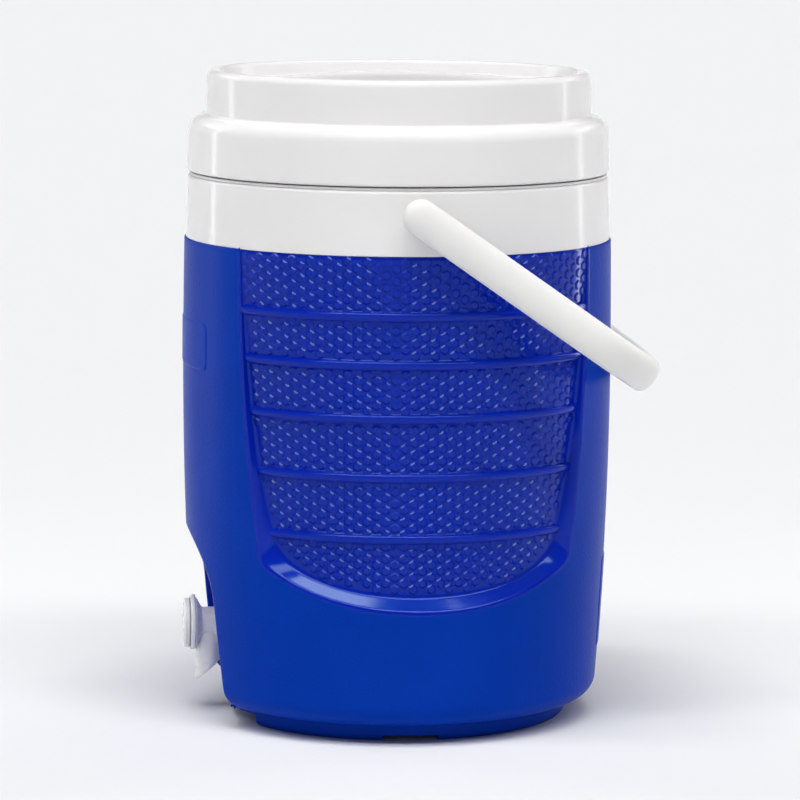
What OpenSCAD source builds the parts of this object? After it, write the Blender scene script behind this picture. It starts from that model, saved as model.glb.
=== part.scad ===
// Insulated beverage dispenser: a round jug with a screw lid, a swing handle and a push-button spigot.
// Millimetres, +Z up. The origin is the centre of the underside. The spigot faces -Y.

/* [Shell] */
// Radius of the outer shell where it is widest
shell_r = 132; // [128:0.5:134]
// Height at which the shell is widest
belly_z = 215; // [190:5:240]
// How much narrower the shell is where its sides meet the bottom rounding
belly_drop = 7; // [4:0.5:9]
// How much narrower the shell is at its top edge
belly_rise_drop = 0.7; // [0:0.1:2]
// Height of the shell's top edge, under the collar
shell_h = 294.8; // [290:0.2:300]
// Wall of the outer shell
shell_wall = 2.6; // [2:0.1:3]
// Radius of the rounding at the bottom of the shell
bottom_round = 13; // [10:0.5:16]
// Outer radius of the foot ring
foot_r = 106; // [100:1:108]
// Height of the foot ring
foot_h = 11.4; // [10:0.2:12]

/* [Side panels] */
// Half-angle of a side panel at its top
panel_half_angle = 53.5; // [48:0.5:56]
// Height of the lowest point of a side panel
panel_bottom_z = 81; // [75:1:90]
// Radius of the panel's floor at the shell's top edge
panel_top_r = 130; // [129:0.5:131]
// Radius of the panel's floor at its lower edge
panel_low_r = 120.5; // [119:0.5:124]
// How far a rib stands out from the panel
rib_rise = 2.8; // [2:0.1:3.2]
// Height of a rib
rib_h = 5.4; // [4:0.1:7]

/* [Spigot alcove] */
// Half-width of the alcove where its arch begins
alcove_half_w = 53.6; // [48:0.2:56]
// Height at which the alcove's arch begins
alcove_spring_z = 74; // [70:1:80]
// Height of the top of the alcove
alcove_top_z = 115; // [110:1:118]
// Distance from the jug's axis to the alcove's flat back wall
alcove_back = 103.5; // [103:0.5:105]

/* [Collar and liner] */
// Radius of the collar at its lower edge
collar_low_r = 130.4; // [130:0.1:131.5]
// Radius of the collar at its upper edge
collar_top_r = 129.3; // [128.5:0.1:130]
// Height of the collar's top
collar_top_z = 333.5; // [331:0.5:336]
// Inner radius of the liner at its floor
liner_low_r = 105; // [100:0.5:106]
// Inner radius of the liner below its neck
liner_top_r = 114; // [112:0.5:114.5]
// Height of the liner's floor
liner_floor_z = 33; // [32:0.5:36]
// Wall of the liner
liner_wall = 2.5; // [2:0.1:2.5]
// Outer radius of the liner's neck
neck_r = 119.6; // [119:0.1:120]
// Height of the neck's rim
neck_top_z = 362; // [358:0.5:363]

/* [Lid] */
// Height of the lid's rim, which is the height of the jug
lid_top_z = 397.4; // [392:0.2:402]
// Radius of the lid's upper tier
lid_tier_r = 118.2; // [116:0.2:119]
// Radius of the lid's skirt at its lower edge
lid_skirt_r = 129.8; // [129.5:0.1:130.5]
// Height of the lid's lower edge
lid_bottom_z = 335.9; // [335.6:0.1:337]
// Height of the lid's shoulder
lid_shoulder_z = 370; // [368:0.5:372]
// Wall of the lid
lid_wall = 2.8; // [2.4:0.1:3]

/* [Handle] */
// Height of the handle's pivots
pivot_z = 319; // [317:0.5:320]
// Distance from the jug's axis to the middle of a handle arm
arm_x = 141; // [140.5:0.5:144]
// Distance from the pivots to the middle of the grip
grip_reach = 179; // [178:0.5:184]
// How far the grip bows outwards past its corners
grip_bow = 8.5; // [5:0.5:10]
// Radius of the handle's corners, along the middle of the strap
corner_r = 46; // [45:1:65]
// Width of the handle's strap
strap_w = 21.8; // [20:0.2:24]
// Thickness of the handle's strap
strap_t = 14; // [12:0.5:14]
// Angle of the resting handle below the horizontal
handle_rest = 35; // [28:0.2:35]

/* [Spigot] */
// Height of the spigot's axis
spigot_z = 54.5; // [53:0.5:57]
// Radius of the spigot's barrel
barrel_r = 9.6; // [9:0.1:10]
// Radius of the push button
button_r = 15.2; // [14.5:0.1:15.3]
// Distance from the jug's axis to the button's face
button_face = 131.8; // [131:0.1:132.5]
// Height of the spout's tip
spout_tip_z = 20; // [18:0.5:24]

/* [Hidden] */

$fn = 180;
BLUE = [0.02, 0.13, 0.62];
WHITE = [0.93, 0.93, 0.93];
WARM_WHITE = [0.90, 0.90, 0.88];
FOAM = [0.93, 0.87, 0.66];
SEAL = [0.30, 0.30, 0.32];
STEEL = [0.72, 0.73, 0.75];

// Small distances
fit_gap = 0.1;          // between pieces of one body that lie against each other
seal_gap = 0.1;         // between a seal and the piece of another body that it closes on
turn_gap = 0.05;        // radial clearance of a pin or stem that moves in its hole
eps = 0.01;             // a cutter's overrun
far = 200;              // a cutter's reach, past everything

// Shell
bottom_round_r = shell_r - belly_drop - bottom_round;       // radius of the rounding's centre
bottom_round_z = foot_h + bottom_round;                     // height of the rounding's centre
neck_in_r = 126;                                            // the shell's step inside the collar
neck_in_z = shell_h + 11.2;
pad_r = 30;                                                 // centre pad of the underside
foot_in_r = 92;                                             // inner radius of the foot ring
base_z = 8;                                                 // height of the underside's recess
foot_edge = 4;                                              // rounding of the foot ring
notch_w = 35;                                               // notches under the foot ring, at +X and -X
notch_h = 3.5;
foot_gap_w = 111;                                           // gap in the foot ring, under the alcove
foot_gap_in = 66;                                           // how near the gap comes to the jug's axis
foot_gap_h = 7;
plug_y = 60;                                                // the foam plug lies behind the centre
plug_r = 12;
plug_head_r = 14.5;

// Raised areas of the shell
label_rise = 0.8;
patch_rise = 0.9;
relief_root = 1.5;                                          // how deep raised areas reach into the wall
label_low_z = 218;
label_high_z = 247;
label_half_angle = 24;
patch_low_z = 43;
patch_high_z = 100;
patch_half_angle = 16;

// Side panels
panel_corner_angle = 38;                                    // half-angle that the lower curve spans
panel_corner_z = 113;                                       // height at which the lower curve begins
panel_flat_angle = 12;                                      // half-angle of the straight lower edge
panel_bevel = 9;                                            // height of the sloping lower edge
rib_z = [125.5, 162.5, 198, 230, 259];
rib_half_angle = [43, 47, 50, 50.5, 52.5];
rib_crest_h = 3;
alcove_flare = 6;                                           // how much wider the alcove is at its foot
panel_cut_x = 60;                                           // where the panels' cutters start

// Pieces of the collar and the neck
collar_in_r = 126.1;
collar_lip = 3;
collar_bevel = 2;
flange_r = 126;                                             // the liner's flange, which lies on the collar
flange_h = 1.6;
neck_in = 115.5;
thread_depth = 1.7;
thread_h = 2.6;
thread_lead = 1.4;                                          // rise from one step to the next
thread_step = 20;                                           // angle of one step
thread_break = 2;                                           // angle between two steps
thread_first = 25;                                          // angle at the middle of the first step
thread_starts = 3;
thread_steps = 4;
neck_thread_z = 342;
lid_thread_z = 346.2;

// Lid
lid_crest_r = 114;
lid_crest_round = 4.2;
lid_dish_r = 104;                                           // where the lid's dished top meets its rim
lid_dish_z = 388.2;
lid_dome_z = 395.5;
shoulder_round = 9.5;
skirt_top_r = 128.8;
skirt_edge = 2.2;
gasket_h = 2.4;
pan_flange_h = 2.2;
pan_r = 113.4;
pan_wall = 2.4;
pan_floor_z = 352;

// Handle
strap_edge = 4.5;                                           // rounding of the strap's edges
end_grow = 0.4;                                             // how much wider the round ends are
end_rise = 0.1;                                             // and a little thicker
pin_r = 5;
pin_in_x = 121.3;
pin_out_x = 141;
pin_flange_r = 7.6;
pin_flange_x = collar_top_r + 1.1;
socket_r = 7.5;
socket_in_x = 119;
socket_out_x = 129.3;
socket_floor = 1.8;

// Spigot, measured along -Y from the jug's axis
bell_r = 16.8;
bell_front = 127.7;
bell_back = 124.2;
bell_cone_r = 15.6;
bell_floor = 122;
barrel_front = 120.7;
barrel_end = 86;
barrel_cut = 80;                                            // where cutters round the barrel start
button_gap = 0.3;
guide_r = 4;
guide_end = 117.5;
chamber_r = 6.5;
spout_r = 8.3;
spout_y = 116;
spout_bore_r = 5;
spout_bore_y = 114;
spout_cut_angle = 41;
flange_out_r = 14.5;
gasket_t = 2;
flange_t = 2.5;
washer_t = 2;
nut_t = 7;
nut_r = 14;
nut_room = 6;                                               // space in the foam round the nut
stem_r = 2.5;
stem_land_r = 3.95;
stem_end = 80.5;
seal_r = 8.8;
seal_t = 2.5;
oring_y = 119.2;
oring_wire = 0.95;
oring_centre_r = 2.95;
spring_r = 7.6;
spring_wire = 0.45;
spring_turns = 3;
spring_front = 129.5;

// Liner: flat behind the alcove, and round above it
liner_flat = alcove_back - shell_wall - fit_gap;
liner_flat_in = liner_flat - liner_wall;
liner_flat_top_z = alcove_top_z + shell_wall + 3;
liner_round = 12;                                           // rounding from the liner's floor to its wall
liner_shoulder_z = 322;                                     // where the wall turns out to the neck
neck_low_z = 329;
neck_in_low_z = 333;

// Radius of the shell at a height: two parabolas that meet at the belly
function shell_radius(z) = z < belly_z
    ? shell_r - belly_drop * pow((belly_z - z) / (belly_z - bottom_round_z), 2)
    : shell_r - belly_rise_drop * pow((z - belly_z) / (shell_h - belly_z), 2);

// Radius of a side panel's floor at a height
function panel_radius(z) =
    panel_low_r + (panel_top_r - panel_low_r) * (z - panel_bottom_z) / (shell_h - panel_bottom_z);

// Points on an arc
function arc(centre, r, from, to, steps = 5) =
    [for (k = [0:steps]) let (a = from + (to - from) * k / steps) centre + r * [cos(a), sin(a)]];

// Half-width of a side panel, seen from its side, that reaches an angle on the shell
function panel_half_width(a) = shell_r * sin(a);

// Height of the lid's domed top at a share of its radius
function dome_height(share) = lid_dome_z - (lid_dome_z - lid_dish_z) * pow(share, 2);

// ---------- shared shapes ----------

// Turns a profile drawn in X and Y into a ring sector centred on an angle
module sector(half_angle, middle = 0) {
    rotate([0, 0, middle - half_angle])
        rotate_extrude(angle = 2 * half_angle)
            children();
}

// Lays a cylinder along -Y on the spigot's axis, between two distances from the jug's axis
module spigot_cylinder(r, from, to) {
    translate([0, -from, spigot_z])
        rotate([90, 0, 0])
            cylinder(r = r, h = to - from);
}

// Turns a profile of [radius, distance along -Y] points about the spigot's axis
module spigot_turned(points) {
    translate([0, 0, spigot_z])
        rotate([90, 0, 0])
            rotate_extrude()
                polygon(points);
}

// Lays a cylinder along X on the pivots' axis, on the side given by +1 or -1
module pivot_cylinder(side, r, from, to) {
    translate([side > 0 ? from : -to, 0, pivot_z])
        rotate([0, 90, 0])
            cylinder(r = r, h = to - from);
}

// ---------- shell ----------

// The solid inside the shell's outside face, or, shrunk by a wall, inside its inside face
module shell_turned(inset) {
    rotate_extrude()
        polygon(concat(
            [[0, inset], [pad_r - inset, inset], [pad_r - inset, base_z + inset]],
            [[foot_in_r + inset, base_z + inset], [foot_in_r + inset, inset]],
            arc([foot_r - foot_edge, foot_edge], foot_edge - inset, -90, 0, 3),
            [[foot_r - inset, foot_h + inset]],
            arc([bottom_round_r, bottom_round_z], bottom_round - inset, -90, 0, 6),
            [for (k = [1:10]) let (z = bottom_round_z + (shell_h - inset - bottom_round_z) * k / 10)
                [shell_radius(z) - inset, z]],
            [[neck_in_r - inset, shell_h - inset], [neck_in_r - inset, neck_in_z], [0, neck_in_z]]
        ));
}

// Outline of the side panel, drawn in Y and Z
module panel_outline(grow) {
    low = panel_half_width(panel_corner_angle + panel_flat_angle) + grow;
    high = panel_half_width(panel_half_angle) + grow;
    flat = panel_half_width(panel_flat_angle);
    bottom = panel_bottom_z - grow;
    curve = [for (k = [0:8]) let (a = 90 * k / 8)
        [flat + (low - flat) * sin(a), panel_corner_z - (panel_corner_z - bottom) * cos(a)]];
    polygon(concat(
        curve,
        [[high, shell_h + grow], [-high, shell_h + grow]],
        [for (k = [8:-1:0]) [-curve[k][0], curve[k][1]]]
    ));
}

// What a side panel takes away from the shell; inset moves its faces into the shell's wall
module panel_cutter(inset) {
    for (side = [0, 180])
        rotate([0, 0, side])
            intersection() {
                translate([panel_cut_x, 0, 0])
                    rotate([90, 0, 90])
                        linear_extrude(far)
                            panel_outline(inset);
                rotate_extrude()
                    polygon([
                        [panel_radius(panel_bottom_z + panel_bevel) - inset, panel_bottom_z + panel_bevel],
                        [far, panel_bottom_z - inset + panel_bevel + panel_low_r - far],
                        [far, shell_h + inset],
                        [panel_radius(shell_h) - inset, shell_h + inset]
                    ]);
            }
}

// Outline of the alcove, drawn in X and Z
module alcove_outline(grow) {
    rise = alcove_top_z + grow - alcove_spring_z;
    arch = [for (k = [0:12]) let (a = 180 * k / 12)
        [(alcove_half_w + grow) * cos(a), alcove_spring_z + rise * sin(a)]];
    foot_w = alcove_half_w + alcove_flare + grow;
    polygon(concat(arch, [[-foot_w, -foot_edge], [foot_w, -foot_edge]]));
}

module alcove_cutter(inset) {
    translate([0, -alcove_back + inset, 0])
        rotate([90, 0, 0])
            linear_extrude(far)
                alcove_outline(inset);
}

// The gap in the foot ring
module foot_gap(inset) {
    translate([-foot_gap_w / 2 - inset, -far, -foot_edge])
        cube([foot_gap_w + 2 * inset, far - foot_gap_in + inset, foot_gap_h + foot_edge + inset]);
}

module foot_notches(inset) {
    for (side = [-1, 1])
        translate([side * foot_r - foot_r / 2, -notch_w / 2 - inset, -foot_edge])
            cube([foot_r, notch_w + 2 * inset, notch_h + foot_edge + inset]);
}

// Raised areas and ribs on the outside
module shell_reliefs() {
    sector(label_half_angle, -90)
        polygon([
            [shell_r - relief_root, label_low_z], [shell_r + label_rise, label_low_z],
            [shell_r + label_rise, label_high_z], [shell_r - relief_root, label_high_z]
        ]);
    sector(patch_half_angle, 90)
        polygon([
            [shell_radius(patch_low_z) - relief_root, patch_low_z],
            [shell_radius(patch_low_z) + patch_rise, patch_low_z],
            [shell_radius(patch_high_z) + patch_rise, patch_high_z],
            [shell_radius(patch_high_z) - relief_root, patch_high_z]
        ]);
    for (side = [0, 180], k = [0:len(rib_z) - 1])
        sector(rib_half_angle[k], side)
            polygon([
                [panel_radius(rib_z[k]) - relief_root, rib_z[k] - rib_h / 2],
                [panel_radius(rib_z[k]), rib_z[k] - rib_h / 2],
                [panel_radius(rib_z[k]) + rib_rise, rib_z[k] - rib_crest_h / 2],
                [panel_radius(rib_z[k]) + rib_rise, rib_z[k] + rib_crest_h / 2],
                [panel_radius(rib_z[k]), rib_z[k] + rib_h / 2],
                [panel_radius(rib_z[k]) - relief_root, rib_z[k] + rib_h / 2]
            ]);
}

// The shell's hollow, which the foam fills
module shell_hollow(inset) {
    difference() {
        shell_turned(inset);
        panel_cutter(inset);
        alcove_cutter(inset);
        foot_notches(inset);
        foot_gap(inset);
    }
}

module outer_shell() {
    color(BLUE)
        difference() {
            union() {
                difference() {
                    shell_turned(0);
                    panel_cutter(0);
                    alcove_cutter(0);
                    foot_notches(0);
                    foot_gap(0);
                }
                shell_reliefs();
            }
            shell_hollow(shell_wall);
            spigot_cylinder(barrel_r + fit_gap, barrel_cut, alcove_back + 1);
            translate([0, plug_y, -eps])
                cylinder(r = plug_r + fit_gap, h = base_z + shell_wall + 1);
        }
}

module foam_fill_plug() {
    color(BLUE)
        translate([0, plug_y, 0])
            union() {
                translate([0, 0, base_z - 1.7])
                    cylinder(r = plug_head_r, h = 1.6);
                translate([0, 0, base_z - 1])
                    cylinder(r = plug_r, h = shell_wall + 2);
            }
}

// ---------- liner, foam and collar ----------

// The liner's outside face, from its floor to the rim of its neck
module liner_outside(grow) {
    wall = liner_wall + grow;
    difference() {
        rotate_extrude()
            polygon(concat(
                [[0, liner_floor_z - wall]],
                arc(
                    [liner_low_r - liner_round, liner_floor_z + liner_round],
                    liner_round + wall, -90, 0, 5
                ),
                [[liner_top_r + wall, liner_shoulder_z], [neck_r + grow, neck_low_z]],
                [[neck_r + grow, neck_top_z], [0, neck_top_z]]
            ));
        translate([-far / 2, -liner_flat - grow - far, 0])
            cube([far, far, liner_flat_top_z - grow]);
    }
}

// The space for the drink
module liner_hollow() {
    difference() {
        rotate_extrude()
            polygon(concat(
                [[0, liner_floor_z]],
                arc([liner_low_r - liner_round, liner_floor_z + liner_round], liner_round, -90, 0, 5),
                [[liner_top_r, liner_shoulder_z], [neck_in, neck_in_low_z]],
                [[neck_in, neck_top_z + 1], [0, neck_top_z + 1]]
            ));
        translate([-far / 2, -liner_flat_in - far, 0])
            cube([far, far, liner_flat_top_z + liner_wall]);
    }
}

// Starts of an interrupted screw thread, as short ridges that climb in steps
module thread_ridges(inner, outer, start_z) {
    for (s = [0:thread_starts - 1], k = [0:thread_steps - 1])
        let (turn = thread_first + s * 360 / thread_starts + k * (thread_step + thread_break))
        translate([0, 0, start_z + k * thread_lead])
            sector(thread_step / 2, turn)
                translate([inner, -thread_h / 2])
                    square([outer - inner, thread_h]);
}

module inner_liner() {
    color(WHITE)
        difference() {
            union() {
                liner_outside(0);
                translate([0, 0, collar_top_z + fit_gap])
                    cylinder(r = flange_r, h = flange_h);
                thread_ridges(neck_r - 1, neck_r + thread_depth, neck_thread_z);
            }
            liner_hollow();
            spigot_cylinder(barrel_r + fit_gap, barrel_cut, alcove_back);
        }
}

module foam_insulation() {
    color(FOAM)
        difference() {
            union() {
                shell_hollow(shell_wall + fit_gap);
                translate([0, 0, neck_in_z + fit_gap])
                    cylinder(
                        r = collar_in_r - fit_gap,
                        h = collar_top_z - collar_lip - neck_in_z - 2 * fit_gap
                    );
                translate([0, 0, neck_in_z - 1])
                    cylinder(r = neck_in_r - shell_wall - fit_gap, h = 2);
            }
            liner_outside(fit_gap);
            for (side = [-1, 1])
                pivot_cylinder(side, socket_r + fit_gap, socket_in_x - fit_gap, far);
            spigot_cylinder(nut_r + nut_room, barrel_cut, alcove_back);
            translate([0, plug_y, 0])
                cylinder(r = plug_r + fit_gap, h = base_z + shell_wall + 1.5);
        }
}

module collar() {
    color(WHITE)
        difference() {
            rotate_extrude()
                polygon([
                    [collar_in_r, shell_h + fit_gap], [collar_low_r, shell_h + fit_gap],
                    [collar_top_r, collar_top_z - collar_bevel],
                    [collar_top_r - collar_bevel * 0.4, collar_top_z - collar_bevel * 0.4],
                    [collar_top_r - collar_bevel, collar_top_z],
                    [neck_r + fit_gap, collar_top_z], [neck_r + fit_gap, collar_top_z - collar_lip],
                    [collar_in_r, collar_top_z - collar_lip]
                ]);
            for (side = [-1, 1])
                pivot_cylinder(side, socket_r + fit_gap, socket_in_x, far);
        }
}

// ---------- handle ----------

module pivot_socket(side) {
    color(WHITE)
        difference() {
            pivot_cylinder(side, socket_r, socket_in_x, socket_out_x);
            pivot_cylinder(side, pin_r + turn_gap, socket_in_x + socket_floor, far);
        }
}

module pivot_socket_left() {
    pivot_socket(-1);
}

module pivot_socket_right() {
    pivot_socket(1);
}

module pivot_pin(side) {
    color(WARM_WHITE)
        union() {
            pivot_cylinder(side, pin_r, pin_in_x, pin_out_x);
            pivot_cylinder(side, pin_flange_r, pin_flange_x, arm_x - strap_t / 2 - end_rise - fit_gap);
        }
}

module pivot_pin_left() {
    pivot_pin(-1);
}

module pivot_pin_right() {
    pivot_pin(1);
}

// Section of the strap as [outwards, across] points, with round edges
strap_section = [for (q = [0:3], k = [0:2])
    let (
        a = 90 * q + 45 * k,
        sx = q == 0 || q == 3 ? 1 : -1,
        sy = q < 2 ? 1 : -1
    )
    [
        sx * (strap_t / 2 - strap_edge) + strap_edge * cos(a),
        sy * (strap_w / 2 - strap_edge) + strap_edge * sin(a)
    ]];

// Middle line of the bail, drawn flat with its pivots on the X axis and its grip towards +Y
corner_reach = grip_reach - grip_bow - corner_r;            // distance of the corners' centres
corner_x = arm_x - corner_r;
grip_r = corner_r + (pow(corner_x, 2) + pow(grip_bow, 2)) / (2 * grip_bow);
grip_turn = asin(corner_x / (grip_r - corner_r));           // half-angle of the bowed grip

// The middle line as [x, y, direction of the outward side]
bail_path = concat(
    [[arm_x, 0, 0]],
    [for (k = [0:8]) let (a = (90 - grip_turn) * k / 8)
        [corner_x + corner_r * cos(a), corner_reach + corner_r * sin(a), a]],
    [for (k = [1:15]) let (a = 90 - grip_turn + 2 * grip_turn * k / 16)
        [grip_r * cos(a), grip_reach - grip_r + grip_r * sin(a), a]],
    [for (k = [8:-1:0]) let (a = (90 - grip_turn) * k / 8)
        [-corner_x - corner_r * cos(a), corner_reach + corner_r * sin(a), 180 - a]],
    [[-arm_x, 0, 180]]
);

module bail_flat() {
    sides = len(strap_section);
    rings = len(bail_path);
    points = [for (p = bail_path, s = strap_section)
        [p[0] + s[0] * cos(p[2]), p[1] + s[0] * sin(p[2]), s[1]]];
    walls = [for (k = [0:rings - 2], s = [0:sides - 1])
        let (a = k * sides + s, b = k * sides + (s + 1) % sides)
        [a, b, b + sides, a + sides]];
    first = [for (s = [sides - 1:-1:0]) s];
    last = [for (s = [0:sides - 1]) (rings - 1) * sides + s];
    polyhedron(points, concat(walls, [first], [last]));
    for (side = [-1, 1])
        translate([side * arm_x - strap_t / 2 - end_rise, 0, 0])
            rotate([0, 90, 0])
                cylinder(r = strap_w / 2 + end_grow, h = strap_t + 2 * end_rise);
}

module handle_bail() {
    color(WARM_WHITE)
        translate([0, 0, pivot_z])
            rotate([-handle_rest, 0, 0])
                difference() {
                    bail_flat();
                    for (side = [-1, 1])
                        translate([side > 0 ? 0 : -pin_out_x - fit_gap, 0, 0])
                            rotate([0, 90, 0])
                                cylinder(r = pin_r + 0.02, h = pin_out_x + fit_gap);
                }
}

// ---------- spigot ----------

module spigot_body() {
    color(WHITE)
        difference() {
            union() {
                spigot_turned([
                    [0, barrel_end], [barrel_r, barrel_end], [barrel_r, barrel_front],
                    [barrel_r + 1, barrel_front], [bell_cone_r, bell_back], [bell_r - 0.8, bell_back],
                    [bell_r, bell_back + 0.8], [bell_r, bell_front - 0.8], [bell_r - 0.8, bell_front],
                    [0, bell_front]
                ]);
                spigot_cylinder(flange_out_r, alcove_back + gasket_t, alcove_back + gasket_t + flange_t);
                difference() {
                    translate([0, -spout_y, 0])
                        cylinder(r = spout_r, h = spigot_z);
                    translate([0, -spout_y - spout_r + 1, spout_tip_z])
                        rotate([spout_cut_angle, 0, 0])
                            translate([-far / 2, -far / 2, -far])
                                cube([far, far, far]);
                }
            }
            spigot_turned([
                [0, bell_floor], [11, bell_floor], [button_r + button_gap, bell_front - 2.3],
                [button_r + button_gap, bell_front + 1], [0, bell_front + 1]
            ]);
            spigot_cylinder(guide_r, barrel_end, bell_front);
            spigot_cylinder(chamber_r, barrel_end - 1, guide_end);
            translate([0, -spout_bore_y, -1])
                cylinder(r = spout_bore_r, h = spigot_z - 4);
        }
}

module spigot_gasket() {
    color(SEAL)
        difference() {
            spigot_cylinder(
                flange_out_r - 0.5, alcove_back + fit_gap / 2, alcove_back + gasket_t - fit_gap / 2);
            spigot_cylinder(barrel_r + fit_gap, barrel_cut, far);
        }
}

module spigot_washer() {
    color(SEAL)
        difference() {
            spigot_cylinder(nut_r - 0.5, liner_flat_in - washer_t, liner_flat_in - fit_gap / 2);
            spigot_cylinder(barrel_r + fit_gap, barrel_cut, far);
        }
}

module spigot_nut() {
    back = liner_flat_in - washer_t - fit_gap / 2;
    color(WHITE)
        difference() {
            union() {
                spigot_cylinder(nut_r, back - 2, back);
                translate([0, -back + nut_t, spigot_z])
                    rotate([90, 0, 0])
                        cylinder(r = nut_r - 0.4, h = nut_t, $fn = 6);
            }
            spigot_cylinder(barrel_r + turn_gap, barrel_cut, far);
        }
}

module push_button() {
    color(WHITE)
        difference() {
            spigot_turned([
                [0, 125.2], [stem_land_r + 2, 125.2], [stem_land_r + 2, button_face - 2],
                [11.3, button_face - 2], [11.3, 126.2], [12.2, 126.2],
                [button_r, bell_front + 0.6], [button_r, button_face - 1.2],
                [button_r - 0.4, button_face - 0.4], [button_r - 1.2, button_face], [0, button_face]
            ]);
            spigot_cylinder(stem_r, bell_floor, button_face - 2);
        }
}

module valve_stem() {
    groove_r = oring_centre_r - oring_wire;
    color(WHITE)
        spigot_turned([
            [0, stem_end], [stem_r, stem_end], [stem_r, oring_y - 2.6],
            [stem_land_r, oring_y - 2.6], [stem_land_r, oring_y - oring_wire],
            [groove_r, oring_y - oring_wire], [groove_r, oring_y + oring_wire],
            [stem_land_r, oring_y + oring_wire], [stem_land_r, oring_y + 2.6],
            [stem_r - 0.02, oring_y + 2.6], [stem_r - 0.02, button_face - 2.1], [0, button_face - 2.1]
        ]);
}

module stem_oring() {
    color(SEAL)
        translate([0, -oring_y, spigot_z])
            rotate([90, 0, 0])
                rotate_extrude()
                    translate([oring_centre_r, 0])
                        circle(r = oring_wire - 0.01, $fn = 32);
}

module valve_seal() {
    color(SEAL)
        spigot_turned([
            [stem_r + 0.02, barrel_end - seal_gap - seal_t], [seal_r, barrel_end - seal_gap - seal_t],
            [seal_r, barrel_end - seal_gap], [stem_r + 0.02, barrel_end - seal_gap]
        ]);
}

module stem_clip() {
    clip_t = 1;
    front = barrel_end - seal_gap - seal_t - fit_gap / 2;
    color(STEEL)
        spigot_turned([
            [stem_r + 0.02, front - clip_t], [seal_r - 3, front - clip_t], [seal_r - 3, front],
            [stem_r + 0.02, front]
        ]);
}

// A coil spring as a tube swept along a helix about the spigot's axis
module return_spring() {
    sides = 8;
    rings = spring_turns * 20;
    back = bell_floor + spring_wire + fit_gap;
    rise = (spring_front - spring_wire - back) / rings;
    points = [for (k = [0:rings], s = [0:sides - 1])
        let (turn = 360 * k / 20, a = 360 * s / sides, r = spring_r + spring_wire * cos(a))
        [r * cos(turn), -(back + rise * k + spring_wire * sin(a)), spigot_z + r * sin(turn)]];
    walls = [for (k = [0:rings - 1], s = [0:sides - 1])
        let (a = k * sides + s, b = k * sides + (s + 1) % sides)
        [a, a + sides, b + sides, b]];
    first = [for (s = [0:sides - 1]) s];
    last = [for (s = [sides - 1:-1:0]) rings * sides + s];
    color(STEEL)
        polyhedron(points, concat(walls, [first], [last]));
}

// ---------- lid ----------

module lid_shell() {
    shoulder_c = [skirt_top_r - shoulder_round, lid_shoulder_z - shoulder_round];
    inner_round = shoulder_round - lid_wall;
    color(WHITE)
        union() {
            rotate_extrude()
                polygon(concat(
                    [for (k = [0:6]) [lid_dish_r * k / 6, dome_height(k / 6)]],
                    [[lid_crest_r - lid_crest_round - 0.6, lid_top_z - 2]],
                    arc([lid_crest_r, lid_top_z - lid_crest_round], lid_crest_round, 110, 0, 5),
                    [[lid_tier_r, lid_shoulder_z + 2], [lid_tier_r + 1, lid_shoulder_z + 0.2]],
                    arc(shoulder_c, shoulder_round, 84, 0, 5),
                    [[lid_skirt_r, lid_bottom_z + skirt_edge], [lid_skirt_r - 0.6, lid_bottom_z + 0.6]],
                    [[lid_skirt_r - skirt_edge, lid_bottom_z], [lid_skirt_r - lid_wall, lid_bottom_z]],
                    arc(shoulder_c, inner_round, 0, 90, 4),
                    [[lid_tier_r - lid_wall, lid_shoulder_z - lid_wall]],
                    [[lid_tier_r - lid_wall, lid_top_z - lid_crest_round - 1]],
                    [[lid_crest_r - 1, lid_top_z - lid_wall - 0.4]],
                    [[lid_dish_r + 3.5, lid_dish_z - lid_wall + 1]],
                    [for (k = [6:-1:0]) [lid_dish_r * k / 6, dome_height(k / 6) - lid_wall]]
                ));
            thread_ridges(neck_r + thread_depth + 0.3, lid_skirt_r - lid_wall + 0.5, lid_thread_z);
        }
}

module lid_pan() {
    top = neck_top_z + gasket_h + fit_gap + pan_flange_h;
    color(WHITE)
        rotate_extrude()
            polygon([
                [0, pan_floor_z], [pan_r - 3, pan_floor_z], [pan_r, pan_floor_z + 3],
                [pan_r, top - pan_flange_h], [neck_r, top - pan_flange_h], [neck_r, top],
                [pan_r - pan_wall, top], [pan_r - pan_wall, pan_floor_z + pan_wall + 2],
                [pan_r - pan_wall - 2, pan_floor_z + pan_wall], [0, pan_floor_z + pan_wall]
            ]);
}

module lid_foam() {
    r = pan_r - pan_wall - fit_gap;
    low = pan_floor_z + pan_wall + fit_gap;
    color(FOAM)
        rotate_extrude()
            polygon(concat(
                [[0, low], [r - 2, low], [r, low + 2], [r, lid_dish_z - lid_wall - fit_gap]],
                [for (k = [6:-1:0]) [lid_dish_r * k / 6, dome_height(k / 6) - lid_wall - fit_gap]]
            ));
}

module lid_gasket() {
    color(SEAL)
        translate([0, 0, neck_top_z + fit_gap / 2])
            difference() {
                cylinder(r = neck_r - 0.4, h = gasket_h);
                translate([0, 0, -1])
                    cylinder(r = neck_in + 0.4, h = gasket_h + 2);
            }
}

outer_shell();
foam_insulation();
inner_liner();
collar();
pivot_socket_left();
pivot_socket_right();
foam_fill_plug();
spigot_body();
spigot_gasket();
spigot_washer();
spigot_nut();
push_button();
valve_stem();
stem_oring();
valve_seal();
stem_clip();
return_spring();
lid_gasket();
lid_shell();
lid_pan();
lid_foam();
handle_bail();
pivot_pin_left();
pivot_pin_right();
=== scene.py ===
import math

import bmesh
import bpy
import numpy as np
from mathutils import Matrix, Vector
from mathutils.geometry import delaunay_2d_cdt

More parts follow.
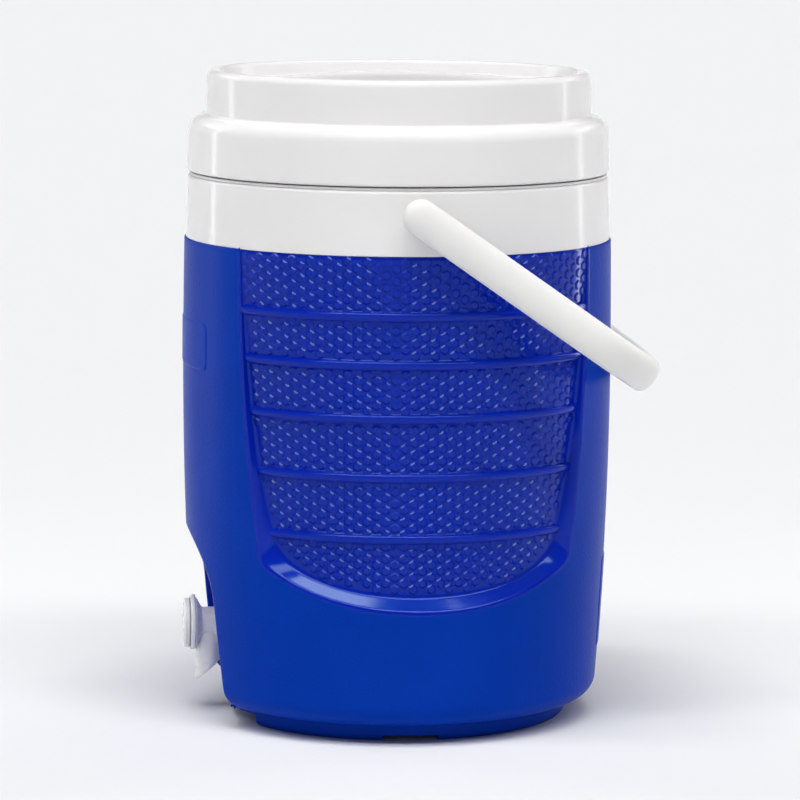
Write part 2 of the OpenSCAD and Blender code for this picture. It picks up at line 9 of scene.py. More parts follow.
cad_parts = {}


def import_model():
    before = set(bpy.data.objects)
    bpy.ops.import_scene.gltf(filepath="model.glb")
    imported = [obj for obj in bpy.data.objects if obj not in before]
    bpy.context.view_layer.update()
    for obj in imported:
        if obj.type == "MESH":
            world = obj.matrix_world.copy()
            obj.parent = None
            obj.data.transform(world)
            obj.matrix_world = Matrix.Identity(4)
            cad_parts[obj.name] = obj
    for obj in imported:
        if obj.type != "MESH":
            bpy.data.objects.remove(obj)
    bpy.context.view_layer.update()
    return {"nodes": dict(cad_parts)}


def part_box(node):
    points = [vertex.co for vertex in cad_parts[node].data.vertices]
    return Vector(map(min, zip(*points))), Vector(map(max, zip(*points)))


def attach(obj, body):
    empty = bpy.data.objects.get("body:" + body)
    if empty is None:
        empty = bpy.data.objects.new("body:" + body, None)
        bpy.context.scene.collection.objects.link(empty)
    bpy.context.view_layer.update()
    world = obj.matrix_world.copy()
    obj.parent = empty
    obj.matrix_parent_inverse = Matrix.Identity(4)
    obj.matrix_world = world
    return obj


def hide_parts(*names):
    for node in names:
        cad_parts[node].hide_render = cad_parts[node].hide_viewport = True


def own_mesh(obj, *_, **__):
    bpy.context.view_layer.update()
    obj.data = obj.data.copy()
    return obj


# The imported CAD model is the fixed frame. Lengths below are in millimetres, as in the CAD model, and
# mesh_object() turns them into metres. Angles round the jug are in degrees from its front, -Y, towards +X.
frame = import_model()
MM = 0.001


def low(node):
    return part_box(node)[0] / MM


def high(node):
    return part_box(node)[1] / MM


# ---------- sizes ----------

FIT_GAP = 0.1                   # between the CAD model's pieces

# Places read from the frame
COLLAR_LOW_Z = low("collar").z
COLLAR_TOP_Z = high("collar").z
COLLAR_R = high("collar").x
SHELL_TOP_Z = COLLAR_LOW_Z - FIT_GAP
LID_LOW_Z = low("lid_shell").z
LID_TOP_Z = high("lid_shell").z
LID_R = high("lid_shell").x
GASKET_LOW_Z = low("lid_gasket").z
GASKET_TOP_Z = high("lid_gasket").z
PAN_LOW_Z = low("lid_pan").z
PAN_TOP_Z = high("lid_pan").z
PAN_R = high("lid_pan").x
NECK_TOP_Z = high("inner_liner").z
LINER_LOW_Z = low("inner_liner").z
PIVOT_Z = (low("pivot_pin_right").z + high("pivot_pin_right").z) / 2
ARM_X = high("pivot_pin_right").x
SPIGOT_Z = (low("spigot_gasket").z + high("spigot_gasket").z) / 2
SPOUT_TIP_Z = low("spigot_body").z
BELL_FRONT = -low("spigot_body").y
BARREL_END = -high("spigot_body").y
BUTTON_FACE = -low("push_button").y
BUTTON_R = high("push_button").x
ALCOVE_BACK = -high("spigot_gasket").y - FIT_GAP / 2

# Shell: two parabolas that meet at the belly, above a rounding and a foot ring
SHELL_R = 132.0
BELLY_Z = 215.0
BELLY_DROP = 7.0
TOP_DROP = 0.7
FOOT_R = 106.0
FOOT_TOP_Z = 11.4
BOTTOM_ROUND = 13.0
ROUND_Z = FOOT_TOP_Z + BOTTOM_ROUND
ROUND_R = SHELL_R - BELLY_DROP - BOTTOM_ROUND
FOOT_EDGE = 4.0
FOOT_LEDGE = 4.0                # the flat start of the ledge over the foot ring
LEDGE_ROUND = 1.4
FOOT_IN_R = 92.0
FOOT_SEAM_R = 95.0
UNDERSIDE_Z = 8.0
PAD_R = 30.0
PAD_ROUND = 1.5
UNDERSIDE_ROUND = 1.2
NOTCH_HALF_ANGLE = 9.4
NOTCH_H = 3.5
FOOT_GAP_HALF_ANGLE = 31.6      # of the gap in the foot ring, under the alcove
FOOT_GAP_H = 7.0
SHELL_WALL = 1.8
TOP_BEVEL = 0.3
TOP_IN_R = 126.0                # the top edge turns in to here, under the collar,
TOP_LIP = 4.0                   # and down by this much
SKIN_R = 130.0                  # turns an angle round the jug into a length along its skin
SKIN_STEP = 4.0
ROUNDING_STEP = 1.4
ROW_RATIO = 0.866               # height over side of the skin's even triangles
SKIN_MARGIN = 1.1               # from the skin's free points to its holes
MARGIN = 1.6                    # from other free points to their outline
WELD = 0.01

# Side panels
PANEL_TURN = 2.1                # degrees by which their middles lie behind the jug's sides
PANEL_LOW_Z = 82.0
PANEL_LOW_R = 120.5
PANEL_TOP_R = 130.0
BEVEL_ROUND = 1.8
FLOOR_ROUND = 2.2

# A panel's outline where its bevel leaves the skin: degrees from the panel's middle, and heights
OUTER_LOW_ANGLE = 44.5
OUTER_LOW_RISE = 23.5
OUTER_LOW_POWER = 2.1
OUTER_BEND = (46.1, 107.0)
OUTER_SIDE = (46.5, 113.0)
OUTER_WIDENING = 6.7

# Its outline where the bevel meets the floor: half a squashed ellipse, and sides that widen upwards
INNER_ANGLE = 43.3
INNER_SIDE_Z = 126.0
INNER_DEPTH = 34.9
INNER_POWERS = (2 / 2.3, 0.95)
INNER_WIDENING = 10.0
INNER_WIDENING_H = 60.0

# A panel's ribs and bumps
RIB_Z = (125.5, 162.5, 198.0, 230.0, 259.0)
RIB_HALF_ANGLE = (46.3, 50.8, 53.0, 53.2, 54.0)
RIB_HALF_H = 2.7
RIB_RISE = 2.6
RIB_ROOT = -1.0                 # how deep the ribs start in the panel's floor
BUMP_R = 3.3
BUMP_TOP_R = 2.3
BUMP_RISE = 0.73
BUMP_COLUMN = 2.6               # degrees from one column of bumps to the next
BUMP_ROW = 7.4                  # from one bump to the next in a column
BUMP_FIRST = 3.4                # from the shell's top to the first bump
BUMP_EDGE_GAP = 2.0
BUMP_RIB_GAP = 2.6
BUMP_REACH = 55                 # degrees on each side of a panel's middle

# Alcove
ALCOVE_HALF_W = 53.6
ALCOVE_SPRING_Z = 74.0
ALCOVE_TOP_Z = 115.0
ALCOVE_FLARE = 6.0
ALCOVE_ROUND = 2.0
ALCOVE_FILLET = 3.0
ALCOVE_STEP = 6.0
SPIGOT_HOLE_R = 9.8

# Plain raised plates: the angles of their middle and half width, and their lower and upper heights
FRONT_PLATE = (0, 24, 218, 247)
REAR_PLATE = (180, 16, 43, 100)
PLATE_RISE = 0.5
PLATE_CORNER = 4.0

# Collar
COLLAR_WALL = 4.3
COLLAR_TAPER = 1.1
COLLAR_IN_R = 119.7
COLLAR_TOP_WALL = 3.0

# Liner, with its neck, flange and thread
LINER_WALL = 2.5
LINER_FLAT = 98.3               # its flat front is this far from the axis
LINER_FLAT_TOP_Z = 113.0
TANK_LOW_R = 105.0
TANK_TOP_R = 114.0
TANK_TOP_Z = 322.0
NECK_IN_R = 115.5
NECK_IN_Z = 333.0
NECK_R = 119.6
NECK_LOW_Z = 329.0
FLANGE_R = 128.3
FLANGE_H = 1.7
THREAD_RISE = 1.7
THREAD_H = 2.6
THREAD_STARTS = 3
THREAD_TURN = 82.0
THREAD_CLIMB = 4.2
THREAD_FIRST = 15.0
THREAD_ROOT = 0.4               # how deep a ridge starts in its wall
THREAD_GAP = 0.3                # from crest to crest
NECK_THREAD_Z = 342.0
LID_THREAD_Z = 346.2

# Lid
LID_WALL = 2.8
TIER_R = 118.2
SHOULDER_Z = 370.0
CREST_IN_R = 109.4
DISH_R = 104.0
DISH_Z = 388.2
DOME_Z = 395.5
PAN_WALL = 2.4
PAN_RIM_W = 6.2
PAN_RIM_H = 2.2

# Handle
STRAP_W = 21.8
STRAP_T = 14.0
STRAP_POWER = 2.3               # of the rounded section: 2 is an ellipse, more is squarer
GRIP_REACH = 179.0
GRIP_BOW = 8.5
CORNER_R = 46.0
HANDLE_REST = 35.0              # degrees below the horizontal

# Spigot: radii, and distances from the jug's axis. The button's skirt slides in the bell, and its socket
# holds the stem.
BARREL_R = 9.6
STEM_HOLE_R = 6.5
MOUNT_R = 14.5
MOUNT_BACK = ALCOVE_BACK + 2.0
MOUNT_FRONT = MOUNT_BACK + 2.5
BELL_R = 16.8
BELL_BACK = 124.6
CONE_R = 15.6                   # the cone between the barrel and the bell widens to here,
CONE_BACK = 120.7               # and runs from here
CONE_FRONT = 123.9              # to here
RECESS_H = 2.5                  # of the straight wall round the button
BUTTON_SIDE_GAP = 0.85          # from the bell's front to the button's straight side
BELL_FLOOR_R = 11.0
BELL_FLOOR = 122.0              # the return spring's seat
BUTTON_GAP = 0.3
BUTTON_TRAVEL = 3.0
SKIRT_IN_R = 11.3
SKIRT_OUT_R = 12.4
SKIRT_BACK = 126.2
SOCKET_R = 5.9
SOCKET_BACK = 125.2
CAP_THICKNESS = 2.0
SPOUT_Y = 116.0
SPOUT_R = 8.3
SPOUT_CUT = 41.0                # degrees by which its end slopes
SPOUT_WALL = 1.9
NIB_R = 1.6

TURNS = 256                     # facets round the jug
SPIGOT_TURNS = 96               # facets round the spigot

# Colours and shader values
BLUE = (0.0, 0.014, 0.36)
GRAINED_BLUE = (0.0, 0.036, 0.375)
BLUE_SPECULAR = 0.12
BLUE_COAT = 0.3
BLUE_TINT = (0.12, 0.85, 1.0)
GRAIN_SPECULAR = 0.03
WHITE = (0.82, 0.81, 0.812)
HANDLE_WHITE = (0.83, 0.825, 0.81)
SPIGOT_WHITE = (0.80, 0.80, 0.82)
LINER_WHITE = (0.78, 0.78, 0.77)
FOAM = (0.80, 0.68, 0.42)
RUBBER = (0.07, 0.07, 0.075)
STEEL = (0.66, 0.67, 0.69)
FLOOR_WHITE = (0.77, 0.775, 0.785)

# Camera: degrees, metres and, for the lens, millimetres
CAMERA_AZIMUTH = 84.4
CAMERA_ELEVATION = 7.61
CAMERA_DISTANCE = 2.669
CAMERA_ROLL = 0.43
CAMERA_LENS = 193.9
AIM_HEIGHT = 0.193
AIM_RIGHT = 0.0022

# Room and lights. An overhead light is its distance forward and sideways, its half depth and its half width,
# all over its height above the jug, and its strength.
ROOM_LIGHT = 0.18
HORIZON_LIGHT = 0.68            # how much brighter the room is near the horizon
HORIZON_HEIGHT = 0.12
OVERHEAD_BOXES = ((0.18, -0.05, 0.09, 0.36, 12.6), (0.58, 0.0, 0.14, 0.84, 7.4),
                  (-1.8, -2.1, 0.5, 0.7, 3.6), (-1.8, 2.1, 0.5, 0.7, 3.6))
BOX_SOFT = 0.03
STRIP_DISTANCE = 0.9
STRIP_W = 0.05
STRIP_H = 0.9
STRIP_POWER = 1.08
LEFT_STRIP_AZIMUTH = CAMERA_AZIMUTH - 112
RIGHT_STRIP_AZIMUTH = CAMERA_AZIMUTH + 110.5
FLOOR_REACH = 40.0


# ---------- outlines ----------

def unit(v):
    return v / np.linalg.norm(v)


def rounded(corners, closed=False, step=12, support=0.35):
    """A polyline through (x, y) or (x, y, radius) corners, each rounded to its radius, with a support
    point just outside each arc so that the straight stretches shade flat."""
    points = [np.array(c[:2], float) for c in corners]
    radii = [c[2] if len(c) > 2 else 0 for c in corners]
    out = []
    for k, p in enumerate(points):
        if radii[k] == 0 or (not closed and k in (0, len(points) - 1)):
            out.append(p)
            continue
        a = unit(points[k - 1] - p)
        b = unit(points[(k + 1) % len(points)] - p)
        half = math.acos(np.clip(a @ b, -1, 1)) / 2
        cut = radii[k] / math.tan(half)
        centre = p + unit(a + b) * radii[k] / math.sin(half)
        start = p + a * cut - centre
        end = p + b * cut - centre
        turn = math.copysign(math.pi - 2 * half, start[0] * end[1] - start[1] * end[0])
        steps = max(2, math.ceil(math.degrees(abs(turn)) / step))
        out.append(p + a * (cut + support))
        for i in range(steps + 1):
            c, s = math.cos(turn * i / steps), math.sin(turn * i / steps)
            out.append(centre + np.array([c * start[0] - s * start[1], s * start[0] + c * start[1]]))
        out.append(p + b * (cut + support))
    return np.array(out)


def resampled(points, count=None, step=None):
    """Evenly spaced points along a polyline, its ends included."""
    lengths = np.concatenate([[0], np.cumsum(np.linalg.norm(np.diff(points, axis=0), axis=1))])
    count = count or int(round(lengths[-1] / step)) + 1
    at = np.linspace(0, lengths[-1], count)
    return np.stack([np.interp(at, lengths, points[:, k]) for k in range(points.shape[1])], 1)


def offset(points, distance, closed=False):
    """The polyline moved sideways, to the right of its direction."""
    if closed:
        along = np.roll(points, -1, 0) - np.roll(points, 1, 0)
    else:
        along = np.gradient(points, axis=0)
    along /= np.linalg.norm(along, axis=1)[:, None]
    return points + distance * np.stack([along[:, 1], -along[:, 0]], 1)


def smoothed(points, passes):
    """A closed polyline with its corners softened."""
    for _ in range(passes):
        points = (np.roll(points, 1, 0) + 2 * points + np.roll(points, -1, 0)) / 4
    return points


def within(outline, points):
    """Which of the points lie inside a closed outline."""
    inside = np.zeros(len(points), bool)
    x, y = points[:, 0], points[:, 1]
    for (x0, y0), (x1, y1) in zip(outline, np.roll(outline, -1, 0)):
        if y0 == y1:
            continue
        crosses = (y0 > y) != (y1 > y)
        inside ^= crosses & (x < (x1 - x0) * (y - y0) / (y1 - y0) + x0)
    return inside


def distance_to(outline, points):
    """Each point's distance from a polyline's corners, which lie close together."""
    out = np.full(len(points), np.inf)
    for corner in outline:
        out = np.minimum(out, np.hypot(points[:, 0] - corner[0], points[:, 1] - corner[1]))
    return out


# ---------- meshes ----------

def linked(name, data):
    """A new object in the scene."""
    obj = bpy.data.objects.new(name, data)
    bpy.context.scene.collection.objects.link(obj)
    return obj


def mesh_object(name, points, faces, materials, face_materials, sharp):
    """A smooth-shaded object from points in millimetres, with duplicate points welded."""
    mesh = bpy.data.meshes.new(name)
    mesh.from_pydata(np.asarray(points, float).tolist(), [], [list(map(int, f)) for f in faces])
    obj = linked(name, mesh)
    for material in materials:
        mesh.materials.append(material)
    mesh.polygons.foreach_set("material_index", np.asarray(face_materials, np.int32))
    bm = bmesh.new()
    bm.from_mesh(mesh)
    bmesh.ops.remove_doubles(bm, verts=bm.verts, dist=WELD)
    bmesh.ops.recalc_face_normals(bm, faces=bm.faces)
    bmesh.ops.scale(bm, vec=(MM, MM, MM), verts=bm.verts)
    bm.to_mesh(mesh)
    bm.free()
    mesh.shade_smooth()
    mesh.set_sharp_from_angle(angle=math.radians(sharp))
    return obj


class Build:
    """Points and faces of one object, gathered from several shapes."""

    def __init__(self):
        self.points = []
        self.faces = []
        self.materials = []
        self.count = 0

    def add(self, points, faces, material=0):
        points = np.asarray(points, float)
        self.points.append(points)
        self.faces += [tuple(int(i) + self.count for i in f) for f in faces]
        self.materials += [material] * len(faces)
        self.count += len(points)

    def grid(self, rows, closed=False, material=0):
        """Quads between rows of points; closed joins each row's last point to its first."""
        rows = np.asarray(rows, float)
        n, m = rows.shape[:2]
        last = m if closed else m - 1
        faces = [(i * m + j, i * m + (j + 1) % m, (i + 1) * m + (j + 1) % m, (i + 1) * m + j)
                 for i in range(n - 1) for j in range(last)]
        self.add(rows.reshape(-1, 3), faces, material)

    def cap(self, ring):
        """One face over a ring of points."""
        self.add(ring, [tuple(range(len(ring)))])

    def object(self, name, *materials, sharp=40):
        return mesh_object(name, np.concatenate(self.points), self.faces, materials, self.materials, sharp)


def turned(profile):
    """Rows of a profile of (radius, height) points turned about the jug's axis."""
    radius, height = np.asarray(profile).T
    return np.stack([np.stack([radius * math.sin(a), -radius * math.cos(a), height], 1)
                     for a in np.linspace(0, 2 * math.pi, TURNS + 1)])


def spigot_turned(profile):
    """Rows of a profile of (radius, distance along -Y) points turned about the spigot's axis."""
    radius, reach = np.asarray(profile).T
    return np.stack([np.stack([radius * math.sin(a), -reach, SPIGOT_Z + radius * math.cos(a)], 1)
                     for a in np.linspace(0, 2 * math.pi, SPIGOT_TURNS + 1)])


def lathe(name, profile, material, closed=True):
    """A solid of revolution about the jug's axis. A profile that isn't closed starts and ends on the axis."""
    build = Build()
    build.grid(turned(profile), closed=closed)
    return build.object(name, material)


def triangulated(free, loops, wanted):
    """Triangles over free 2D points and closed loops, whose edges are kept, where wanted(centres) holds."""
    edges = []
    start = 0
    for loop in loops:
        edges += [(start + k, start + (k + 1) % len(loop)) for k in range(len(loop))]
        start += len(loop)
    points = np.concatenate(list(loops) + [free])
    result = delaunay_2d_cdt([Vector(p) for p in points], edges, [], 0, 1e-5)
    points = np.array([v[:] for v in result[0]])
    faces = np.array(result[2])
    return points, faces[wanted(points[faces].mean(1))]


def lattice(x0, x1, y0, y1, step):
    """A field of points in staggered rows, away from its own edges."""
    rows = []
    for k, y in enumerate(np.arange(y0 + step * 0.45, y1 - step * 0.4, step * ROW_RATIO)):
        x = np.arange(x0 + step * (0.5 if k % 2 else 0.95), x1 - step * 0.4, step)
        rows.append(np.stack([x, np.full(len(x), y)], 1))
    return np.concatenate(rows)


# ---------- materials ----------

MIDDLE_RANGE = (0.3, 0.7)       # of a noise's values


class Nodes:
    """Builds one material's nodes."""

    def __init__(self, name, colour, roughness, specular=0.5, coat=0.0, coat_roughness=0.1, tint=(1, 1, 1)):
        self.material = bpy.data.materials.new(name)
        self.material.use_nodes = True
        self.tree = self.material.node_tree
        self.shader = self.tree.nodes["Principled BSDF"]
        self.shader.inputs["Base Color"].default_value = (*colour, 1)
        self.shader.inputs["Roughness"].default_value = roughness
        self.shader.inputs["Specular IOR Level"].default_value = specular
        self.shader.inputs["Specular Tint"].default_value = (*tint, 1)
        self.shader.inputs["Coat Weight"].default_value = coat
        self.shader.inputs["Coat Roughness"].default_value = coat_roughness
        self.where = self.new("ShaderNodeTexCoord").outputs["Object"]
        self.normal = None

    def new(self, kind, **settings):
        node = self.tree.nodes.new(kind)
        for key, value in settings.items():
            if hasattr(node, key):
                setattr(node, key, value)
            else:
                node.inputs[key.replace("_", " ")].default_value = value
        return node

    def link(self, a, b):
        self.tree.links.new(a, b)

    def noise(self, scale, detail=2.0, roughness=0.5, stretch=None):
        node = self.new("ShaderNodeTexNoise", Scale=scale, Detail=detail, Roughness=roughness)
        source = self.where
        if stretch:
            mapping = self.new("ShaderNodeMapping", Scale=stretch)
            self.link(source, mapping.inputs["Vector"])
            source = mapping.outputs["Vector"]
        self.link(source, node.inputs["Vector"])
        return node.outputs["Fac"]

    def cells(self, scale):
        node = self.new("ShaderNodeTexVoronoi", feature="SMOOTH_F1", Scale=scale, Smoothness=0.6)
        self.link(self.where, node.inputs["Vector"])
        return node.outputs["Distance"]

    def colour(self, value, dark, light):
        """The base colour runs from dark to light as value runs over its middle range."""
        ramp = self.new("ShaderNodeValToRGB")
        for element, position, shade in zip(ramp.color_ramp.elements, MIDDLE_RANGE, (dark, light)):
            element.position = position
            element.color = (*shade, 1)
        self.link(value, ramp.inputs["Fac"])
        self.link(ramp.outputs["Color"], self.shader.inputs["Base Color"])

    def roughness(self, value, smoothest, roughest):
        """The roughness runs over its range as value runs over its middle range."""
        node = self.new("ShaderNodeMapRange", From_Min=MIDDLE_RANGE[0], From_Max=MIDDLE_RANGE[1],
                        To_Min=smoothest, To_Max=roughest)
        self.link(value, node.inputs["Value"])
        self.link(node.outputs["Result"], self.shader.inputs["Roughness"])

    def bump(self, value, depth, strength=1.0):
        """Adds relief of a depth in millimetres, over any relief added before."""
        node = self.new("ShaderNodeBump", Strength=strength, Distance=depth * MM)
        self.link(value, node.inputs["Height"])
        if self.normal:
            self.link(self.normal, node.inputs["Normal"])
        self.normal = node.outputs["Normal"]
        self.link(self.normal, self.shader.inputs["Normal"])


def shades(colour, spread):
    """A darker and a lighter shade of a colour."""
    return [c * (1 - spread) for c in colour], [min(1, c * (1 + spread)) for c in colour]


def grained_blue():
    """The shell's walls: polyethylene with a fine pebbled grain from its mould."""
    nodes = Nodes("shell_blue_grained", GRAINED_BLUE, 0.4, GRAIN_SPECULAR)
    nodes.colour(nodes.noise(18, 3), *shades(GRAINED_BLUE, 0.05))
    nodes.roughness(nodes.noise(900, 2), 0.30, 0.38)
    nodes.bump(nodes.noise(9, 1), 0.35)
    nodes.bump(nodes.noise(620, 1.5, 0.45), 0.22, 0.75)
    return nodes.material


def smooth_blue():
    """The shell's panels, ribs, alcove and underside, which have hardly any grain."""
    nodes = Nodes("shell_blue_smooth", BLUE, 0.2, BLUE_SPECULAR, BLUE_COAT, 0.08, BLUE_TINT)
    nodes.colour(nodes.noise(18, 3), *shades(BLUE, 0.05))
    nodes.roughness(nodes.noise(500, 2), 0.13, 0.19)
    nodes.bump(nodes.noise(40, 2), 0.08)
    nodes.bump(nodes.noise(1300, 2), 0.025)
    return nodes.material


def plastic(name, colour, rough, ripple=0.0, grain=0.02, spread=0.02, specular=0.5):
    """A moulded plastic: slight cloudiness, slow ripples from its cooling and a faint fine grain."""
    nodes = Nodes(name, colour, sum(rough) / 2, specular)
    nodes.colour(nodes.noise(14, 3), *shades(colour, spread))
    nodes.roughness(nodes.noise(160, 3), *rough)
    if ripple:
        nodes.bump(nodes.noise(26, 1.5, 0.4), ripple)
    nodes.bump(nodes.noise(1500, 2), grain)
    return nodes.material


def foam():
    nodes = Nodes("rigid_foam", FOAM, 0.9)
    nodes.colour(nodes.noise(60, 4), *shades(FOAM, 0.12))
    nodes.bump(nodes.cells(900), 0.3)
    return nodes.material


def rubber():
    nodes = Nodes("seal_rubber", RUBBER, 0.75, 0.35)
    nodes.colour(nodes.noise(90, 4), *shades(RUBBER, 0.2))
    nodes.roughness(nodes.noise(400, 3), 0.62, 0.82)
    nodes.bump(nodes.noise(2500, 2), 0.03)
    return nodes.material


def steel():
    nodes = Nodes("spring_steel", STEEL, 0.3)
    nodes.shader.inputs["Metallic"].default_value = 1.0
    nodes.colour(nodes.noise(300, 3), *shades(STEEL, 0.1))
    nodes.roughness(nodes.noise(1200, 3), 0.22, 0.42)
    nodes.bump(nodes.noise(2500, 2, 0.5, (1, 6, 1)), 0.01)
    return nodes.material


GRAINED = grained_blue()
SMOOTH = smooth_blue()
GLOSS_WHITE = plastic("gloss_white", WHITE, (0.10, 0.16), ripple=0.12, specular=0.12)
SATIN_WHITE = plastic("handle_white", HANDLE_WHITE, (0.34, 0.44), ripple=0.05, grain=0.04, specular=0.2)
SPIGOT = plastic("spigot_white", SPIGOT_WHITE, (0.22, 0.32), ripple=0.03)
LINER = plastic("liner_white", LINER_WHITE, (0.30, 0.40), ripple=0.15)
FOAM_YELLOW = foam()
SEAL = rubber()
SPRING = steel()


# ---------- shell ----------

def shell_radius(z):
    z = np.asarray(z, float)
    below = SHELL_R - BELLY_DROP * ((BELLY_Z - z) / (BELLY_Z - ROUND_Z)) ** 2
    above = SHELL_R - TOP_DROP * ((z - BELLY_Z) / (SHELL_TOP_Z - BELLY_Z)) ** 2
    return np.where(z < BELLY_Z, below, above)


def panel_radius(z):
    share = (np.asarray(z, float) - PANEL_LOW_Z) / (SHELL_TOP_Z - PANEL_LOW_Z)
    return PANEL_LOW_R + (PANEL_TOP_R - PANEL_LOW_R) * share


def skin_profile():
    """The shell's outside from under the foot ring to its top edge, as close (radius, height) points."""
    foot = rounded([(FOOT_SEAM_R, 0), (FOOT_R, 0, FOOT_EDGE), (FOOT_R, FOOT_TOP_Z, LEDGE_ROUND),
                    (FOOT_R + FOOT_LEDGE, FOOT_TOP_Z)], step=6, support=0.01)
    turn = np.radians(np.linspace(-90, 0, 31))
    edge = np.stack([ROUND_R + BOTTOM_ROUND * np.cos(turn), ROUND_Z + BOTTOM_ROUND * np.sin(turn)], 1)
    wall_z = np.linspace(ROUND_Z, SHELL_TOP_Z, 400)[1:]
    wall = np.stack([shell_radius(wall_z), wall_z], 1)
    return np.concatenate([foot, edge, wall])


PROFILE = skin_profile()
ALONG = np.concatenate([[0], np.cumsum(np.linalg.norm(np.diff(PROFILE, axis=0), axis=1))])
SKIN_TOP = ALONG[-1]


def skin_radius(t):
    return np.interp(t, ALONG, PROFILE[:, 0])


def skin_height(t):
    return np.interp(t, ALONG, PROFILE[:, 1])


def skin_along(z):
    """Where on the skin's profile a height above the foot ring is."""
    above = PROFILE[:, 1] > FOOT_TOP_Z
    return np.interp(z, PROFILE[above, 1], ALONG[above])


def round_jug(u, radius, z):
    """Points at a length u round the jug from its front, at a radius and a height."""
    a = np.asarray(u) / SKIN_R
    return np.stack([radius * np.sin(a), -radius * np.cos(a), z + 0 * a], -1)


def on_skin(points):
    """Skin coordinates, which are lengths round the jug and up its profile, as points in space."""
    return round_jug(points[:, 0], skin_radius(points[:, 1]), skin_height(points[:, 1]))


def beside(u, side):
    """Lengths round from a panel's middle as lengths round from the jug's front."""
    return u + side * SKIN_R * math.radians(90 + PANEL_TURN)


def on_floor(points, side):
    """Panel coordinates, which are lengths round from the panel's middle and heights, as points in space."""
    return round_jug(beside(points[:, 0], side), panel_radius(points[:, 1]), points[:, 1])


def arc_length(angle):
    return SKIN_R * np.radians(angle)


def mirrored(half):
    """A whole outline, from left to right, from its half on the +u side, which starts on the middle line."""
    return np.concatenate([half[::-1] * [-1, 1], half[1:]])


def panel_outer():
    """Outline of a side panel where its bevel leaves the skin, from its top left to its top right."""
    u = np.linspace(0, OUTER_LOW_ANGLE, 60)
    low = np.stack([u, PANEL_LOW_Z + OUTER_LOW_RISE * (u / OUTER_LOW_ANGLE) ** OUTER_LOW_POWER], 1)
    corner = np.linspace(0, 1, 14)[1:, None]
    turn = ((1 - corner) ** 2 * low[-1] + 2 * corner * (1 - corner) * np.array(OUTER_BEND)
            + corner ** 2 * np.array(OUTER_SIDE))
    angle, side_z = OUTER_SIDE
    z = np.linspace(side_z, SHELL_TOP_Z, 120)[1:]
    share = (z - side_z) / (SHELL_TOP_Z - side_z)
    edge = np.stack([angle + OUTER_WIDENING * np.sin(math.pi / 2 * share), z], 1)
    half = np.concatenate([low, turn, edge])
    half[:, 0] = arc_length(half[:, 0])
    return mirrored(half)


def panel_inner():
    """Outline of a side panel where its bevel meets the panel's floor."""
    a = np.linspace(0, math.pi / 2, 60)
    curve = np.stack([INNER_ANGLE * np.sin(a) ** INNER_POWERS[0],
                      INNER_SIDE_Z - INNER_DEPTH * np.cos(a) ** INNER_POWERS[1]], 1)
    z = np.linspace(INNER_SIDE_Z, SHELL_TOP_Z, 120)[1:]
    fade = 1 - np.exp(-(z - INNER_SIDE_Z) / INNER_WIDENING_H)
    edge = np.stack([INNER_ANGLE + INNER_WIDENING * fade / fade[-1], z], 1)
    half = np.concatenate([curve, edge])
    half[:, 0] = arc_length(half[:, 0])
    return mirrored(half)


def bent(a, b, c, d, first, second):
    """Rows of points from a to d past the corners b and c, rounded over lengths first and second."""
    span = np.maximum(np.linalg.norm(c - b, axis=1)[:, None], 1e-6)
    most = 0.45                 # of the span, so that the two roundings never meet
    leave = b + (c - b) * np.minimum(first / span, most)
    reach = c + (b - c) * np.minimum(second / span, most)
    rows = [(1 - s) ** 2 * a + 2 * s * (1 - s) * b + s * s * leave for s in np.linspace(0, 1, 6)]
    rows += [leave + (reach - leave) * s for s in (0.06, 0.35, 0.65, 0.94)]
    rows += [(1 - s) ** 2 * reach + 2 * s * (1 - s) * c + s * s * d for s in np.linspace(0, 1, 7)]
    return rows


def held_top(points):
    """A panel outline whose two ends lie at the shell's top edge."""
    points = points.copy()
    points[[0, -1], 1] = SHELL_TOP_Z
    return points


def panel_edges():
    """The panel's four outlines: skin edge, bevel top, bevel foot and floor edge, matched point by point."""
    outer = resampled(panel_outer(), step=2.2)
    inner = resampled(panel_inner(), count=len(outer))
    return held_top(offset(outer, BEVEL_ROUND)), outer, inner, held_top(offset(inner, -FLOOR_ROUND))


def to_skin(points, side):
    """Panel coordinates as skin coordinates."""
    return np.stack([beside(points[:, 0], side), skin_along(points[:, 1])], 1)


def alcove_half_width(z):
    """Half-width of the alcove's arched outline at a height."""
    rise = (z - ALCOVE_SPRING_Z) / (ALCOVE_TOP_Z - ALCOVE_SPRING_Z)
    arch = ALCOVE_HALF_W * np.sqrt(np.clip(1 - rise ** 2, 0, 1))
    legs = ALCOVE_HALF_W + ALCOVE_FLARE * (ALCOVE_SPRING_Z - z) / (ALCOVE_SPRING_Z + FOOT_EDGE)
    return np.where(z > ALCOVE_SPRING_Z, arch, legs)


def alcove_outline():
    """The alcove's edge in skin coordinates, as a closed outline that runs up its right side."""
    lower = PROFILE[:, 1] < BELLY_Z
    tip = np.interp(ALCOVE_BACK, PROFILE[lower, 0], ALONG[lower])
    close = 4.0                 # the points start close together over this length
    leg_z = 60.0
    high_z = ALCOVE_SPRING_Z + (ALCOVE_TOP_Z - ALCOVE_SPRING_Z) * np.sin(np.linspace(0, math.pi / 2, 60))
    t = np.concatenate([
        tip + np.linspace(0, 1, 12)[:-1] ** 2 * close, np.linspace(tip + close, skin_along(leg_z), 200),
        skin_along(np.linspace(leg_z + 1, ALCOVE_SPRING_Z, 10)[:-1]), skin_along(high_z)])
    radius = skin_radius(t)
    flat = np.arccos(np.clip(ALCOVE_BACK / radius, -1, 1))
    sides = np.arcsin(alcove_half_width(skin_height(t)) / radius)
    half = np.stack([SKIN_R * np.minimum(flat, sides), t], 1)
    outline = np.concatenate([half, (half * [-1, 1])[-2:0:-1]])
    closed = np.concatenate([outline, outline[:1]])
    return smoothed(resampled(closed, step=1.6)[:-1], 3)


